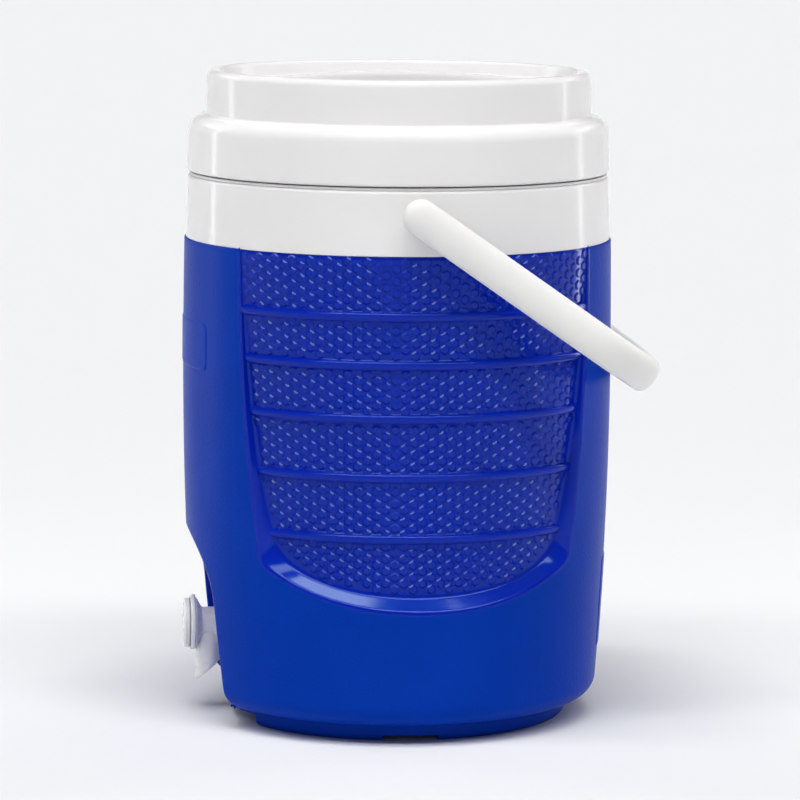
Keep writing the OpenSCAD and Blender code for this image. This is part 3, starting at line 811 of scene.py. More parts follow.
def skin_rows():
    """Heights along the profile at which the skin has rows of points: close together on the roundings."""
    foot = ALONG[np.searchsorted(PROFILE[:, 1], 0.01)] - 0.4
    wall = skin_along(ROUND_Z + 2)
    close = np.linspace(foot, wall, int(round((wall - foot) / ROUNDING_STEP)) + 1)
    plain = np.linspace(wall, SKIN_TOP, int(round((SKIN_TOP - wall) / (SKIN_STEP * ROW_RATIO))) + 1)
    return np.concatenate([[0, foot / 2], close, plain[1:]])


def even_columns():
    """Lengths round the jug, from the middle of its back all the way round."""
    half_turn = math.pi * SKIN_R
    return np.linspace(-half_turn, half_turn, int(round(2 * half_turn / SKIN_STEP)) + 1)


def foot_columns():
    """Lengths round the jug of the foot ring's columns of points, with a close pair at each notch's edge and
    at the gap's edges."""
    angles = [side * 90 + end * NOTCH_HALF_ANGLE for side in (-1, 1) for end in (-1, 1)]
    angles += [-FOOT_GAP_HALF_ANGLE, FOOT_GAP_HALF_ANGLE]
    edges = [arc_length(angle + slip) for slip in (-0.08, 0.08) for angle in angles]
    kept = [c for c in even_columns() if min(abs(c - e) for e in edges) > 1]
    return np.sort(np.concatenate([kept, edges]))


def notched(points):
    """Points of the foot ring, lifted where its notches and its gap are."""
    points = points.copy()
    angle = np.degrees(np.arctan2(points[:, 1], np.abs(points[:, 0])))
    on_ring = np.hypot(points[:, 0], points[:, 1]) > FOOT_IN_R - 1
    for inside, height in ((np.abs(angle) < NOTCH_HALF_ANGLE, NOTCH_H),
                           (angle < FOOT_GAP_HALF_ANGLE - 90, FOOT_GAP_H)):
        points[inside & on_ring, 2] = np.maximum(points[inside & on_ring, 2], height)
    return points


def skin_points():
    """The skin's free points, in skin coordinates."""
    foot = skin_along(ROUND_Z) - BOTTOM_ROUND * math.pi / 2 - 5
    points = []
    for k, t in enumerate(skin_rows()):
        row = foot_columns() if t <= foot else even_columns()
        if t > foot and k % 2 and t < SKIN_TOP:
            row = np.concatenate([row[:1], (row[:-1] + row[1:]) / 2, row[-1:]])
        points.append(np.stack([row, np.full(len(row), t)], 1))
    return np.concatenate(points)


def add_skin(build):
    """The shell's outside, with holes where the panels and the alcove are."""
    edge = panel_edges()[0]
    holes = [grown_alcove_outline()] + [to_skin(edge, side) for side in (-1, 1)]

    def outside(points):
        return ~np.any([within(hole, points) for hole in holes], axis=0)

    free = skin_points()
    free = free[outside(free) & np.all([distance_to(hole, free) > SKIN_MARGIN for hole in holes], axis=0)]
    points, faces = triangulated(free, holes, outside)
    build.add(notched(on_skin(points)), faces)


def grown_alcove_outline():
    """Where the rounding of the alcove's mouth leaves the skin."""
    return offset(alcove_outline(), ALCOVE_ROUND, closed=True)


def add_panel(build, side):
    """A side panel's bevel and floor."""
    skin_edge, bevel_top, bevel_foot, floor_edge = panel_edges()
    rows = bent(on_skin(to_skin(skin_edge, side)), on_skin(to_skin(bevel_top, side)),
                on_floor(bevel_foot, side), on_floor(floor_edge, side), BEVEL_ROUND, FLOOR_ROUND)
    build.grid(rows, material=1)
    top = resampled(floor_edge[[-1, 0]], step=SKIN_STEP)[1:-1]
    outline = np.concatenate([floor_edge, top])
    reach = floor_edge[:, 0].max()
    free = lattice(-reach, reach, PANEL_LOW_Z, SHELL_TOP_Z, SKIN_STEP)
    free = free[within(outline, free) & (distance_to(outline, free) > MARGIN)]
    points, faces = triangulated(free, [outline], lambda c: within(outline, c))
    build.add(on_floor(points, side), faces, 1)


def add_alcove(build):
    """The alcove's side walls and flat back."""
    mouth = notched(on_skin(alcove_outline()))
    back = mouth.copy()
    back[:, 1] = -ALCOVE_BACK
    flat = np.stack([back[:, 0], back[:, 2]], 1)
    wall_edge = offset(flat, -ALCOVE_FILLET, closed=True)
    inner = np.stack([wall_edge[:, 0], back[:, 1], wall_edge[:, 1]], 1)
    rows = bent(notched(on_skin(grown_alcove_outline())), mouth, back, inner, ALCOVE_ROUND, ALCOVE_FILLET)
    build.grid(rows, closed=True, material=1)
    turn = np.linspace(0, 2 * math.pi, 49)[:-1]
    hole = np.stack([SPIGOT_HOLE_R * np.cos(turn), SPIGOT_Z + SPIGOT_HOLE_R * np.sin(turn)], 1)

    def inside(points, radius):
        from_spigot = np.hypot(points[:, 0], points[:, 1] - SPIGOT_Z)
        return within(wall_edge, points) & (from_spigot > radius)

    margin = 2.0
    free = lattice(-ALCOVE_HALF_W - ALCOVE_FLARE, ALCOVE_HALF_W + ALCOVE_FLARE, 0, ALCOVE_TOP_Z, ALCOVE_STEP)
    free = free[inside(free, SPIGOT_HOLE_R + margin) & (distance_to(wall_edge, free) > margin)]
    points, faces = triangulated(free, [wall_edge, hole], lambda c: inside(c, SPIGOT_HOLE_R * 0.99))
    build.add(np.stack([points[:, 0], np.full(len(points), -ALCOVE_BACK), points[:, 1]], 1), faces, 1)


def add_underside(build):
    """The underside inside the foot ring's sole, with its recess and its centre pad."""
    profile = rounded([
        (0, 0), (PAD_R, 0, PAD_ROUND), (PAD_R, UNDERSIDE_Z, UNDERSIDE_ROUND),
        (FOOT_IN_R, UNDERSIDE_Z, UNDERSIDE_ROUND), (FOOT_IN_R, 0, UNDERSIDE_ROUND), (FOOT_SEAM_R, 0)],
        step=30, support=0.3)
    columns = foot_columns()
    rows = np.stack([round_jug(columns, r, z) for r, z in profile])
    build.grid(notched(rows.reshape(-1, 3)).reshape(rows.shape), material=1)


def closed_shell(obj):
    """Gives the skin its wall and turns its top edge in under the collar."""
    bm = bmesh.new()
    bm.from_mesh(obj.data)
    top = [e for e in bm.edges if e.is_boundary and min(v.co.z for v in e.verts) > (SHELL_TOP_Z - 0.1) * MM]
    for v in {v for e in top for v in e.verts}:
        v.co.z = (SHELL_TOP_Z - TOP_BEVEL) * MM
    for radius_at, z in ((lambda r: r - TOP_BEVEL * MM, SHELL_TOP_Z), (lambda r: TOP_IN_R * MM, SHELL_TOP_Z),
                         (lambda r: r, SHELL_TOP_Z - TOP_LIP)):
        result = bmesh.ops.extrude_edge_only(bm, edges=top)["geom"]
        top = [g for g in result if isinstance(g, bmesh.types.BMEdge)]
        for v in [g for g in result if isinstance(g, bmesh.types.BMVert)]:
            radius = math.hypot(v.co.x, v.co.y)
            share = radius_at(radius) / radius
            v.co = (v.co.x * share, v.co.y * share, z * MM)
    bmesh.ops.recalc_face_normals(bm, faces=bm.faces)
    bm.to_mesh(obj.data)
    bm.free()
    solid = obj.modifiers.new("wall", "SOLIDIFY")
    solid.thickness = SHELL_WALL * MM
    solid.offset = -1
    apply_modifiers(obj)


def apply_modifiers(obj):
    bpy.context.view_layer.update()
    mesh = bpy.data.meshes.new_from_object(obj.evaluated_get(bpy.context.evaluated_depsgraph_get()))
    obj.modifiers.clear()
    obj.data = mesh


def outer_shell():
    build = Build()
    add_skin(build)
    for side in (-1, 1):
        add_panel(build, side)
    add_alcove(build)
    add_underside(build)
    obj = build.object("shell_body", GRAINED, SMOOTH, sharp=50)
    for v in obj.data.vertices:
        v.co.z = min(v.co.z, SHELL_TOP_Z * MM)
    closed_shell(obj)
    return obj


# ---------- reliefs on the shell ----------

def floor_relief(side):
    """Puts panel coordinates and heights over the panel's floor in space."""
    def surface(points, heights):
        return round_jug(beside(points[:, 0], side), panel_radius(points[:, 1]) + heights, points[:, 1])
    return surface


def add_rib(build, surface, levels, reach, z):
    """A raised bar with round ends, from -reach to reach at a height: levels are (distance from its middle
    line, height) pairs from the crest outwards."""
    steps = max(1, int(2 * reach / 3))
    feet, out = [], []
    for sign in (-1, 1):
        for s in np.linspace(sign * reach, -sign * reach, steps + 1)[:-1]:
            feet.append((s, z))
            out.append((0, sign))
        for turn in np.linspace(0, math.pi, 11)[:-1]:
            feet.append((-sign * reach, z))
            out.append((-sign * math.sin(turn), sign * math.cos(turn)))
    feet, out = np.array(feet), np.array(out)
    rows = [surface(feet + out * d, np.full(len(feet), h)) for d, h in levels]
    build.grid(rows, closed=True)
    build.cap(rows[-1])


def rib_levels():
    """A rib's section: a rounded crest, steep sides, a small flare at its foot and its root."""
    turn = np.radians([0, 15, 30, 44, 56, 66, 75, 82])
    levels = [(RIB_HALF_H * math.sin(a) ** 0.8, RIB_RISE * math.cos(a) ** 0.75) for a in turn]
    foot = RIB_HALF_H + 0.7
    return levels + [(RIB_HALF_H + 0.25, 0.25), (foot, 0.0), (foot, RIB_ROOT)]


def sided(name, side):
    return name + ("_right" if side > 0 else "_left")


def ribs(side):
    build = Build()
    for z, half_angle in zip(RIB_Z, RIB_HALF_ANGLE):
        add_rib(build, floor_relief(side), rib_levels(), arc_length(half_angle) - RIB_HALF_H, z)
    return build.object(sided("panel_ribs", side), SMOOTH)


def bump_places():
    """Centres of the bumps in panel coordinates: staggered columns over the panel's floor."""
    outline = resampled(panel_inner(), step=1.5)
    columns = int(BUMP_REACH / BUMP_COLUMN)
    places = np.array([
        (arc_length(c * BUMP_COLUMN), z) for c in range(-columns, columns + 1)
        for z in np.arange(SHELL_TOP_Z - BUMP_FIRST - (c % 2) * BUMP_ROW / 2, PANEL_LOW_Z, -BUMP_ROW)])
    keep = within(outline, places) & (distance_to(outline, places) > BUMP_EDGE_GAP)
    for z, half_angle in zip(RIB_Z, RIB_HALF_ANGLE):
        keep &= ~((np.abs(places[:, 1] - z) < BUMP_RIB_GAP) & (np.abs(places[:, 0]) < arc_length(half_angle)))
    return places[keep]


def bumps(side):
    """The panel's six-sided bumps, each with a bevelled edge and a nearly flat top."""
    build = Build()
    surface = floor_relief(side)
    turn = np.radians(30 + 60 * np.arange(6))
    corners = np.stack([np.cos(turn), np.sin(turn)], 1)
    levels = ((BUMP_R, -0.4), (BUMP_R, 0.0), (BUMP_TOP_R, BUMP_RISE), (BUMP_TOP_R - 0.25, BUMP_RISE + 0.06),
              (0.9, BUMP_RISE + 0.08))
    for centre in bump_places():
        rows = [surface(centre + corners * r, np.full(6, h)) for r, h in levels]
        build.cap(rows[0])
        build.grid(rows, closed=True)
        build.cap(rows[-1])
    return build.object(sided("panel_bumps", side), SMOOTH, sharp=10)


def plate(name, middle_angle, half_angle, low_z, high_z):
    """A plain raised plate with rounded corners on the shell's wall."""
    build = Build()
    half_u = arc_length(half_angle)
    corners = ((half_u, low_z), (half_u, high_z), (-half_u, high_z), (-half_u, low_z))
    outline = rounded([(*corner, PLATE_CORNER) for corner in corners], closed=True, step=10)
    outline = resampled(np.concatenate([outline, outline[:1]]), step=2.0)[:-1]

    def surface(points, height):
        u, z = points.T
        return round_jug(u + arc_length(middle_angle), shell_radius(z) + height, z)

    levels = ((0.0, -0.5), (0.0, 0.0), (0.2, 0.15), (0.7, PLATE_RISE - 0.1), (1.4, PLATE_RISE),
              (2.0, PLATE_RISE))
    rings = [offset(outline, -inwards, closed=True) for inwards, _ in levels]
    rows = [surface(ring, height) for ring, (_, height) in zip(rings, levels)]
    build.grid(rows, closed=True)
    build.cap(rows[0])
    top = rings[-1]
    free = lattice(-half_u, half_u, low_z, high_z, SKIN_STEP)
    free = free[within(top, free) & (distance_to(top, free) > MARGIN)]
    points, faces = triangulated(free, [top], lambda c: within(top, c))
    build.add(surface(points, PLATE_RISE), faces)
    return build.object(name, GRAINED)


# ---------- collar, liner and lid ----------

def collar():
    profile = rounded([
        (COLLAR_R - COLLAR_WALL, COLLAR_LOW_Z), (COLLAR_R, COLLAR_LOW_Z, 0.7),
        (COLLAR_R - COLLAR_TAPER, COLLAR_TOP_Z, 2.2), (COLLAR_IN_R, COLLAR_TOP_Z, 0.3),
        (COLLAR_IN_R, COLLAR_TOP_Z - COLLAR_TOP_WALL),
        (COLLAR_R - COLLAR_WALL, COLLAR_TOP_Z - COLLAR_TOP_WALL)], closed=True, step=10)
    return lathe("collar_ring", profile, GLOSS_WHITE)


def add_threads(build, inner, outer, start_z, toward=1):
    """Thread ridges that climb round the neck, with ends that run out. The crest is at outer, or at inner
    in the lid, where toward is -1."""
    root, crest = (inner, outer) if toward > 0 else (outer, inner)
    steps = 60
    for s in range(THREAD_STARTS):
        rows = []
        for k in range(steps + 1):
            share = k / steps
            run_out = min(1, share * 8, (1 - share) * 8)
            angle = math.radians(90 + THREAD_FIRST + s * 360 / THREAD_STARTS + THREAD_TURN * share)
            z = start_z + THREAD_CLIMB * share
            top = root + (crest - root) * math.sin(run_out * math.pi / 2)
            deep = root - toward * THREAD_ROOT
            section = [(deep, -THREAD_H / 2), (root, -THREAD_H / 2), (top, -THREAD_H / 5),
                       (top, THREAD_H / 5), (root, THREAD_H / 2), (deep, THREAD_H / 2)]
            rows.append([(r * math.sin(angle), -r * math.cos(angle), z + dz) for r, dz in section])
        build.grid(rows, closed=True)
        build.cap(rows[0])
        build.cap(rows[-1])


def flattened(rows, flat):
    """The liner's front is flat behind the alcove and blends into its round wall above."""
    limit = flat + np.maximum(0, rows[..., 2] - LINER_FLAT_TOP_Z) * 1.5
    rows[..., 1] = np.maximum(rows[..., 1], -limit)
    return rows


def inner_liner():
    """The tank with its neck, flange and thread."""
    floor_z = LINER_LOW_Z + LINER_WALL
    flange_z = COLLAR_TOP_Z + FIT_GAP
    flange_top_z = COLLAR_TOP_Z + FLANGE_H
    profile = densified(rounded([
        (0, floor_z), (TANK_LOW_R, floor_z, 12), (TANK_TOP_R, TANK_TOP_Z, 8), (NECK_IN_R, NECK_IN_Z, 8),
        (NECK_IN_R, NECK_TOP_Z, 0.8), (NECK_R, NECK_TOP_Z, 1.2), (NECK_R, flange_top_z, 0.8),
        (FLANGE_R, flange_top_z, 0.7), (FLANGE_R, flange_z, 0.3), (NECK_R, flange_z), (NECK_R, NECK_LOW_Z, 4),
        (TANK_TOP_R + LINER_WALL, TANK_TOP_Z, 4), (TANK_LOW_R + LINER_WALL, LINER_LOW_Z, 14),
        (0, LINER_LOW_Z)], step=10), 8.0)
    build = Build()
    rows = turned(profile)
    outside = np.arange(len(profile)) >= np.argmax(profile[:, 0])
    rows[:, ~outside] = flattened(rows[:, ~outside], LINER_FLAT)
    rows[:, outside] = flattened(rows[:, outside], LINER_FLAT + LINER_WALL)
    build.grid(rows)
    add_threads(build, NECK_R, NECK_R + THREAD_RISE, NECK_THREAD_Z)
    return build.object("tank_liner", LINER)


def densified(points, step):
    """The polyline with points added so that no stretch is longer than step."""
    out = [points[0]]
    for a, b in zip(points, points[1:]):
        count = max(1, math.ceil(np.linalg.norm(b - a) / step))
        out += [a + (b - a) * k / count for k in range(1, count + 1)]
    return np.array(out)


def lid_shell():
    """The two-tier lid: skirt, shoulder, an upper tier with a rounded rim, and a dish with a low dome."""
    share = np.linspace(0, 1, 40)
    dome = np.stack([DISH_R * share, DOME_Z - (DOME_Z - DISH_Z) * share ** 2], 1)
    outside = rounded([
        tuple(dome[-1]), (DISH_R + 1.5, DISH_Z - 0.4, 3.0), (CREST_IN_R, LID_TOP_Z, 3.0),
        (TIER_R - 0.3, LID_TOP_Z, 4.2), (TIER_R, SHOULDER_Z, 1.6), (LID_R - 1.2, SHOULDER_Z - 0.2, 8.6),
        (LID_R, LID_LOW_Z, 1.6), (LID_R - LID_WALL, LID_LOW_Z, 0.8),
        (LID_R - LID_WALL - 1, SHOULDER_Z - LID_WALL, 6),
        (TIER_R - LID_WALL, SHOULDER_Z - LID_WALL, 1.0), (TIER_R - LID_WALL, LID_TOP_Z - 5, 3),
        (DISH_R + 3, DISH_Z - LID_WALL)], step=9)
    inside = (dome - [0, LID_WALL])[::-1]
    build = Build()
    build.grid(turned(densified(np.concatenate([dome, outside[1:], inside]), 12.0)))
    add_threads(build, NECK_R + THREAD_RISE + THREAD_GAP, LID_R - LID_WALL - 0.4, LID_THREAD_Z, toward=-1)
    return build.object("screw_lid", GLOSS_WHITE)


def lid_pan():
    cup_r = PAN_R - PAN_RIM_W
    rim_z = PAN_TOP_Z - PAN_RIM_H
    profile = rounded([
        (0, PAN_LOW_Z), (cup_r, PAN_LOW_Z, 4), (cup_r, rim_z, 0.8), (PAN_R, rim_z, 0.5),
        (PAN_R, PAN_TOP_Z, 0.5), (cup_r - PAN_WALL, PAN_TOP_Z, 1),
        (cup_r - PAN_WALL, PAN_LOW_Z + PAN_WALL, 3), (0, PAN_LOW_Z + PAN_WALL)], step=12)
    return lathe("lid_underside", densified(profile, 12.0), LINER, closed=False)


def lid_gasket():
    inner, outer, edge = NECK_IN_R + 0.4, NECK_R - 0.4, 0.5
    profile = rounded([(inner, GASKET_LOW_Z, edge), (outer, GASKET_LOW_Z, edge), (outer, GASKET_TOP_Z, edge),
                       (inner, GASKET_TOP_Z, edge)], closed=True, step=30, support=0.15)
    return lathe("lid_seal_ring", profile, SEAL)


# ---------- handle ----------

def strap_section():
    """Section of the strap as (outwards, across) points, from one edge round by way of its outer face."""
    a = np.linspace(0, 2 * math.pi, 49)[:-1] - math.pi / 2
    c, s = np.cos(a), np.sin(a)
    return np.stack([STRAP_T / 2 * np.sign(c) * np.abs(c) ** (2 / STRAP_POWER),
                     STRAP_W / 2 * np.sign(s) * np.abs(s) ** (2 / STRAP_POWER)], 1)


def bail_path():
    """Middle line of the bail as rows of x, distance from the pivots and the angle of its outward side."""
    corner_x = ARM_X - CORNER_R
    corner_reach = GRIP_REACH - GRIP_BOW - CORNER_R
    grip_r = CORNER_R + (corner_x ** 2 + GRIP_BOW ** 2) / (2 * GRIP_BOW)
    bow = math.asin(corner_x / (grip_r - CORNER_R))
    arm = [(ARM_X, s, 0) for s in np.linspace(0, corner_reach, 20)[:-1]]
    corner = [(corner_x + CORNER_R * math.cos(a), corner_reach + CORNER_R * math.sin(a), a)
              for a in np.linspace(0, math.pi / 2 - bow, 24)]
    grip = [(grip_r * math.cos(a), GRIP_REACH - grip_r + grip_r * math.sin(a), a)
            for a in np.linspace(math.pi / 2 - bow, math.pi / 2, 24)[1:]]
    half = np.array(arm + corner + grip)
    other = half[:-1][::-1] * [-1, 1, -1] + [0, 0, math.pi]
    return np.concatenate([half, other])


def swung(points):
    """Points of the bail, drawn flat with the grip along +Y, laid at its resting angle."""
    a = math.radians(HANDLE_REST)
    x, y, z = points[..., 0], points[..., 1], points[..., 2]
    return np.stack([x, y * math.cos(a) + z * math.sin(a), PIVOT_Z - y * math.sin(a) + z * math.cos(a)], -1)


def handle_bail():
    section = strap_section()
    build = Build()
    rows = [[(x + out * math.cos(a), s + out * math.sin(a), across) for out, across in section]
            for x, s, a in bail_path()]
    build.grid(swung(np.array(rows)), closed=True)
    build.add(*end_caps(section))
    return build.object("swing_handle", SATIN_WHITE)


def end_caps(section):
    """The bail's round ends: half the strap's section turned about each pivot's axis."""
    upper = section[section[:, 1] >= -1e-9]
    upper = upper[np.argsort(np.arctan2(upper[:, 1], upper[:, 0]))]
    upper[[0, -1], 1] = 0
    points, faces = [], []
    for side in (-1, 1):
        start = len(points)
        turns = np.linspace(math.pi / 2, math.pi * 3 / 2, 37)
        for t in turns:
            points += [(side * ARM_X + out, across * math.cos(t), across * math.sin(t))
                       for out, across in upper]
        n = len(upper)
        corners = [start + i * n + j for i in range(len(turns) - 1) for j in range(n - 1)]
        faces += [(k, k + 1, k + n + 1, k + n) for k in corners]
    return swung(np.array(points)), faces


# ---------- spigot ----------

def spigot_body():
    """The barrel with its bell, flange, spout and pip."""
    recess_r = BUTTON_R + BUTTON_GAP
    profile = rounded([
        (0, BARREL_END + 2), (STEM_HOLE_R, BARREL_END + 2), (STEM_HOLE_R, BARREL_END, 0.3),
        (BARREL_R, BARREL_END, 0.5), (BARREL_R, MOUNT_BACK), (MOUNT_R, MOUNT_BACK, 0.4),
        (MOUNT_R, MOUNT_FRONT, 0.9), (BARREL_R + 0.1, MOUNT_FRONT, 0.9), (BARREL_R, CONE_BACK, 1.6),
        (CONE_R, CONE_FRONT, 0.6), (CONE_R, BELL_BACK), (BELL_R, BELL_BACK, 0.9), (BELL_R, BELL_FRONT, 1.1),
        (recess_r, BELL_FRONT, 0.4), (recess_r, BELL_FRONT - RECESS_H, 0.5), (BELL_FLOOR_R, BELL_FLOOR, 1.5),
        (0, BELL_FLOOR)], step=12, support=0.12)
    build = Build()
    build.grid(spigot_turned(profile))
    add_spout(build)
    add_nib(build)
    return build.object("spigot_housing", SPIGOT)


def add_spout(build):
    """The spout: a tube that hangs from the barrel, cut on a slant, with a rounded lip."""
    turn = np.linspace(0, 2 * math.pi, 73)[:-1]
    slope = math.tan(math.radians(SPOUT_CUT))
    front = SPOUT_Y + SPOUT_R - 1

    def ring(radius, above_cut=None, z=None):
        x = radius * np.sin(turn)
        y = -SPOUT_Y - radius * np.cos(turn)
        height = np.full(len(turn), z) if above_cut is None else np.maximum(
            SPOUT_TIP_Z + 0.55 + (y + front) * slope + above_cut, SPOUT_TIP_Z + 0.2)
        return np.stack([x, y, height], 1)

    # Above the shoulder the tube steps back, to stay behind the bell's floor
    step_y = -(BELL_FLOOR - 0.4)
    shoulder = ring(SPOUT_R, z=SPIGOT_Z - 8.5)
    under_bell = shoulder[:, 1] < step_y
    shoulder[under_bell, 2] = SPIGOT_Z - 14.6
    inside = ring(SPOUT_R, z=SPIGOT_Z - 8)
    inside[under_bell, 2] = SPIGOT_Z - 10.5
    inside[:, 1] = np.maximum(inside[:, 1], step_y)
    top = inside.copy()
    top[:, 2] = SPIGOT_Z
    inner = SPOUT_R - SPOUT_WALL
    lip = ((SPOUT_R, 4), (SPOUT_R, 1.2), (SPOUT_R - 0.12, 0.45), (SPOUT_R - 0.5, 0.05),
           (SPOUT_R - 0.9, -0.05), (inner + 0.4, 0.05), (inner + 0.05, 0.4), (inner, 1.2), (inner, 3))
    rows = [top, inside, shoulder] + [ring(radius, above_cut) for radius, above_cut in lip]
    rows.append(ring(inner - 0.6, z=SPIGOT_Z - 9))
    build.grid(rows, closed=True)
    build.cap(rows[0])
    build.cap(rows[-1])


def add_nib(build):
    """The small moulded pip on top of the bell."""
    turn = np.linspace(0, 2 * math.pi, 25)[:-1]
    y = NIB_R - BELL_FRONT
    bell_top = SPIGOT_Z + BELL_R - 0.1
    rows = [np.stack([NIB_R * share * np.sin(turn), y + NIB_R * share * np.cos(turn),
                      np.full(len(turn), bell_top + rise)], 1)
            for share, rise in ((1, -1.2), (1, 0.1), (0.92, 0.5), (0.72, 0.85), (0.4, 1.05))]
    build.grid(rows, closed=True)
    build.cap(rows[0])
    build.cap(rows[-1])


def push_button():
    """The round button, with a shallow dish for the thumb."""
    dish = [(0, BUTTON_FACE - 0.9), (5, BUTTON_FACE - 0.75), (9, BUTTON_FACE - 0.35)]
    under = BUTTON_FACE - CAP_THICKNESS
    profile = rounded(dish + [
        (12.2, BUTTON_FACE, 2.0), (BUTTON_R, BUTTON_FACE, 1.3), (BUTTON_R, BELL_FRONT + BUTTON_SIDE_GAP, 0.4),
        (SKIRT_OUT_R, SKIRT_BACK, 0.4), (SKIRT_IN_R, SKIRT_BACK, 0.3), (SKIRT_IN_R, under, 0.5),
        (SOCKET_R, under, 0.5), (SOCKET_R, SOCKET_BACK, 0.4), (0, SOCKET_BACK)], step=12, support=0.12)
    build = Build()
    build.grid(spigot_turned(profile))
    return build.object("button_cap", SPIGOT)


# ---------- the pieces ----------

def place(obj, body, slot, *nodes):
    """Puts a piece on its body and in place of CAD nodes; the slot argument is not used."""
    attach(obj, body)
    if nodes:
        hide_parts(*nodes)


place(outer_shell(), "jug", "shell_blue", "outer_shell")
for side in (-1, 1):
    place(ribs(side), "jug", "shell_blue")
    place(bumps(side), "jug", "shell_blue")
place(plate("front_plate", *FRONT_PLATE), "jug", "shell_blue")
place(plate("rear_plate", *REAR_PLATE), "jug", "shell_blue")
place(collar(), "jug", "gloss_white", "collar")
place(inner_liner(), "jug", "liner_white", "inner_liner")
place(spigot_body(), "jug", "spigot_white", "spigot_body")
place(push_button(), "button", "spigot_white", "push_button")
place(lid_shell(), "lid", "gloss_white", "lid_shell")
place(lid_pan(), "lid", "liner_white", "lid_pan")
place(lid_gasket(), "lid_seal", "seal_rubber", "lid_gasket")
place(handle_bail(), "handle", "handle_white", "handle_bail")

CAD_MATERIALS = {
    SMOOTH: ["foam_fill_plug"],
    SATIN_WHITE: ["pivot_pin_left", "pivot_pin_right"],
    LINER: ["pivot_socket_left", "pivot_socket_right"],
    SPIGOT: ["spigot_nut", "valve_stem"],
    SEAL: ["spigot_gasket", "spigot_washer", "stem_oring", "valve_seal"],
    SPRING: ["stem_clip", "return_spring"],
    FOAM_YELLOW: ["foam_insulation", "lid_foam"],
}
for material, names in CAD_MATERIALS.items():
    for name in names:
        node = frame["nodes"][name]
        node.data.materials.clear()
        node.data.materials.append(material)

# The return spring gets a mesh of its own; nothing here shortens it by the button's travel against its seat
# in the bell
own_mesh(frame["nodes"]["return_spring"], "button_push", axis=(0, 1, 0), anchor=(0, -BELL_FLOOR * MM, 0),
          keep=1 - BUTTON_TRAVEL / (-low("return_spring").y - BELL_FLOOR))


# ---------- floor, lights and camera ----------

def direction(azimuth, elevation):
    """The unit vector from the jug towards a place round it; azimuth 0 is -Y, 90 is +X."""
    a, e = math.radians(azimuth), math.radians(elevation)
    return Vector((math.cos(e) * math.sin(a), -math.cos(e) * math.cos(a), math.sin(e)))


def looking(position, target, roll=0.0):
    """A placement at position whose -Z axis points at the target."""
    turn = (target - position).to_track_quat("-Z", "Y").to_matrix().to_4x4()
    return Matrix.Translation(position) @ turn @ Matrix.Rotation(math.radians(roll), 4, "Z")


def camera():
    data = bpy.data.cameras.new("camera")
    data.lens = CAMERA_LENS
    data.sensor_width = 36
    data.clip_end = 100
    obj = linked("camera", data)
    aim = Vector((0, 0, AIM_HEIGHT)) + direction(CAMERA_AZIMUTH + 90, 0) * AIM_RIGHT
    position = aim + direction(CAMERA_AZIMUTH, CAMERA_ELEVATION) * CAMERA_DISTANCE
    obj.matrix_world = looking(position, aim, CAMERA_ROLL)
    bpy.context.scene.camera = obj


def strip_light(name, azimuth):
    """A tall narrow softbox that stands on the floor and faces the jug."""
    data = bpy.data.lights.new(name, "AREA")
    data.shape = "RECTANGLE"
    data.size = STRIP_W
    data.size_y = STRIP_H
    data.energy = STRIP_POWER
    obj = linked(name, data)
    obj.visible_camera = False
    middle = Vector((0, 0, STRIP_H / 2))
    obj.matrix_world = looking(middle + direction(azimuth, 0) * STRIP_DISTANCE, middle)


def floor():
    mesh = bpy.data.meshes.new("floor")
    corners = [(x * FLOOR_REACH, y * FLOOR_REACH, 0) for x, y in ((-1, -1), (1, -1), (1, 1), (-1, 1))]
    mesh.from_pydata(corners, [], [(0, 1, 2, 3)])
    obj = linked("floor", mesh)
    mesh.materials.append(Nodes("floor_white", FLOOR_WHITE, 0.9, 0.0).material)


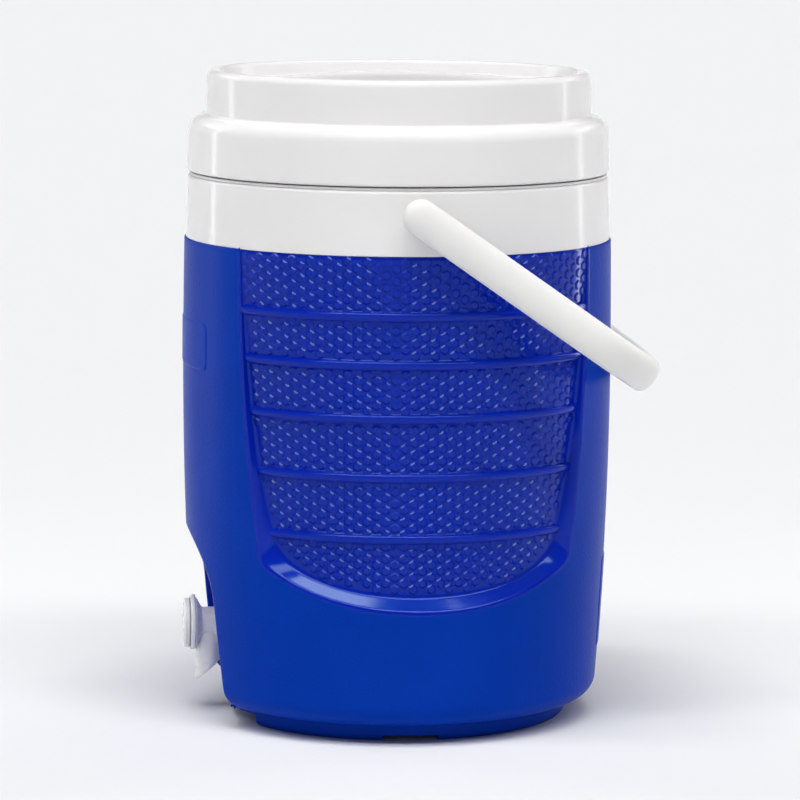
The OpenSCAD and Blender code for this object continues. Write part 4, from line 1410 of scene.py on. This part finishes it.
def world():
    """An even white studio, brighter towards its horizon, with four soft-edged lights overhead."""
    data = bpy.data.worlds.new("studio")
    data.use_nodes = True
    tree = data.node_tree
    background = tree.nodes["Background"]
    where = tree.nodes.new("ShaderNodeTexCoord").outputs["Generated"]

    def math_node(operation, *inputs):
        node = tree.nodes.new("ShaderNodeMath")
        node.operation = operation
        for k, value in enumerate(inputs):
            if isinstance(value, (int, float)):
                node.inputs[k].default_value = value
            else:
                tree.links.new(value, node.inputs[k])
        return node.outputs["Value"]

    def along(axis):
        node = tree.nodes.new("ShaderNodeVectorMath")
        node.operation = "DOT_PRODUCT"
        tree.links.new(where, node.inputs[0])
        node.inputs[1].default_value = axis
        return node.outputs["Value"]

    def edge(value, reach, soft):
        """1 where the value is within the reach, fading to 0 over a soft edge."""
        node = tree.nodes.new("ShaderNodeMapRange")
        node.interpolation_type = "SMOOTHSTEP"
        ends = {"From Min": reach - soft, "From Max": reach + soft, "To Min": 1, "To Max": 0}
        for key, number in ends.items():
            node.inputs[key].default_value = number
        tree.links.new(math_node("ABSOLUTE", value), node.inputs["Value"])
        return node.outputs["Result"]

    height = math_node("MAXIMUM", along((0, 0, 1)), 0.001)
    forward = math_node("DIVIDE", along(direction(CAMERA_AZIMUTH, 0)), height)
    sideways = math_node("DIVIDE", along(direction(CAMERA_AZIMUTH + 90, 0)), height)
    horizon = edge(height, HORIZON_HEIGHT, HORIZON_HEIGHT / 2)
    strength = math_node("MULTIPLY_ADD", horizon, HORIZON_LIGHT, ROOM_LIGHT)
    for box_forward, box_sideways, half_depth, half_width, light in OVERHEAD_BOXES:
        box = math_node("MULTIPLY", edge(math_node("SUBTRACT", forward, box_forward), half_depth, BOX_SOFT),
                        edge(math_node("SUBTRACT", sideways, box_sideways), half_width, BOX_SOFT))
        strength = math_node("MULTIPLY_ADD", box, light, strength)
    tree.links.new(strength, background.inputs["Strength"])
    background.inputs["Color"].default_value = (1, 1, 1, 1)
    bpy.context.scene.world = data


world()
floor()
camera()
strip_light("left_strip", LEFT_STRIP_AZIMUTH)
strip_light("right_strip", RIGHT_STRIP_AZIMUTH)
bpy.context.scene.view_settings.view_transform = "Standard"
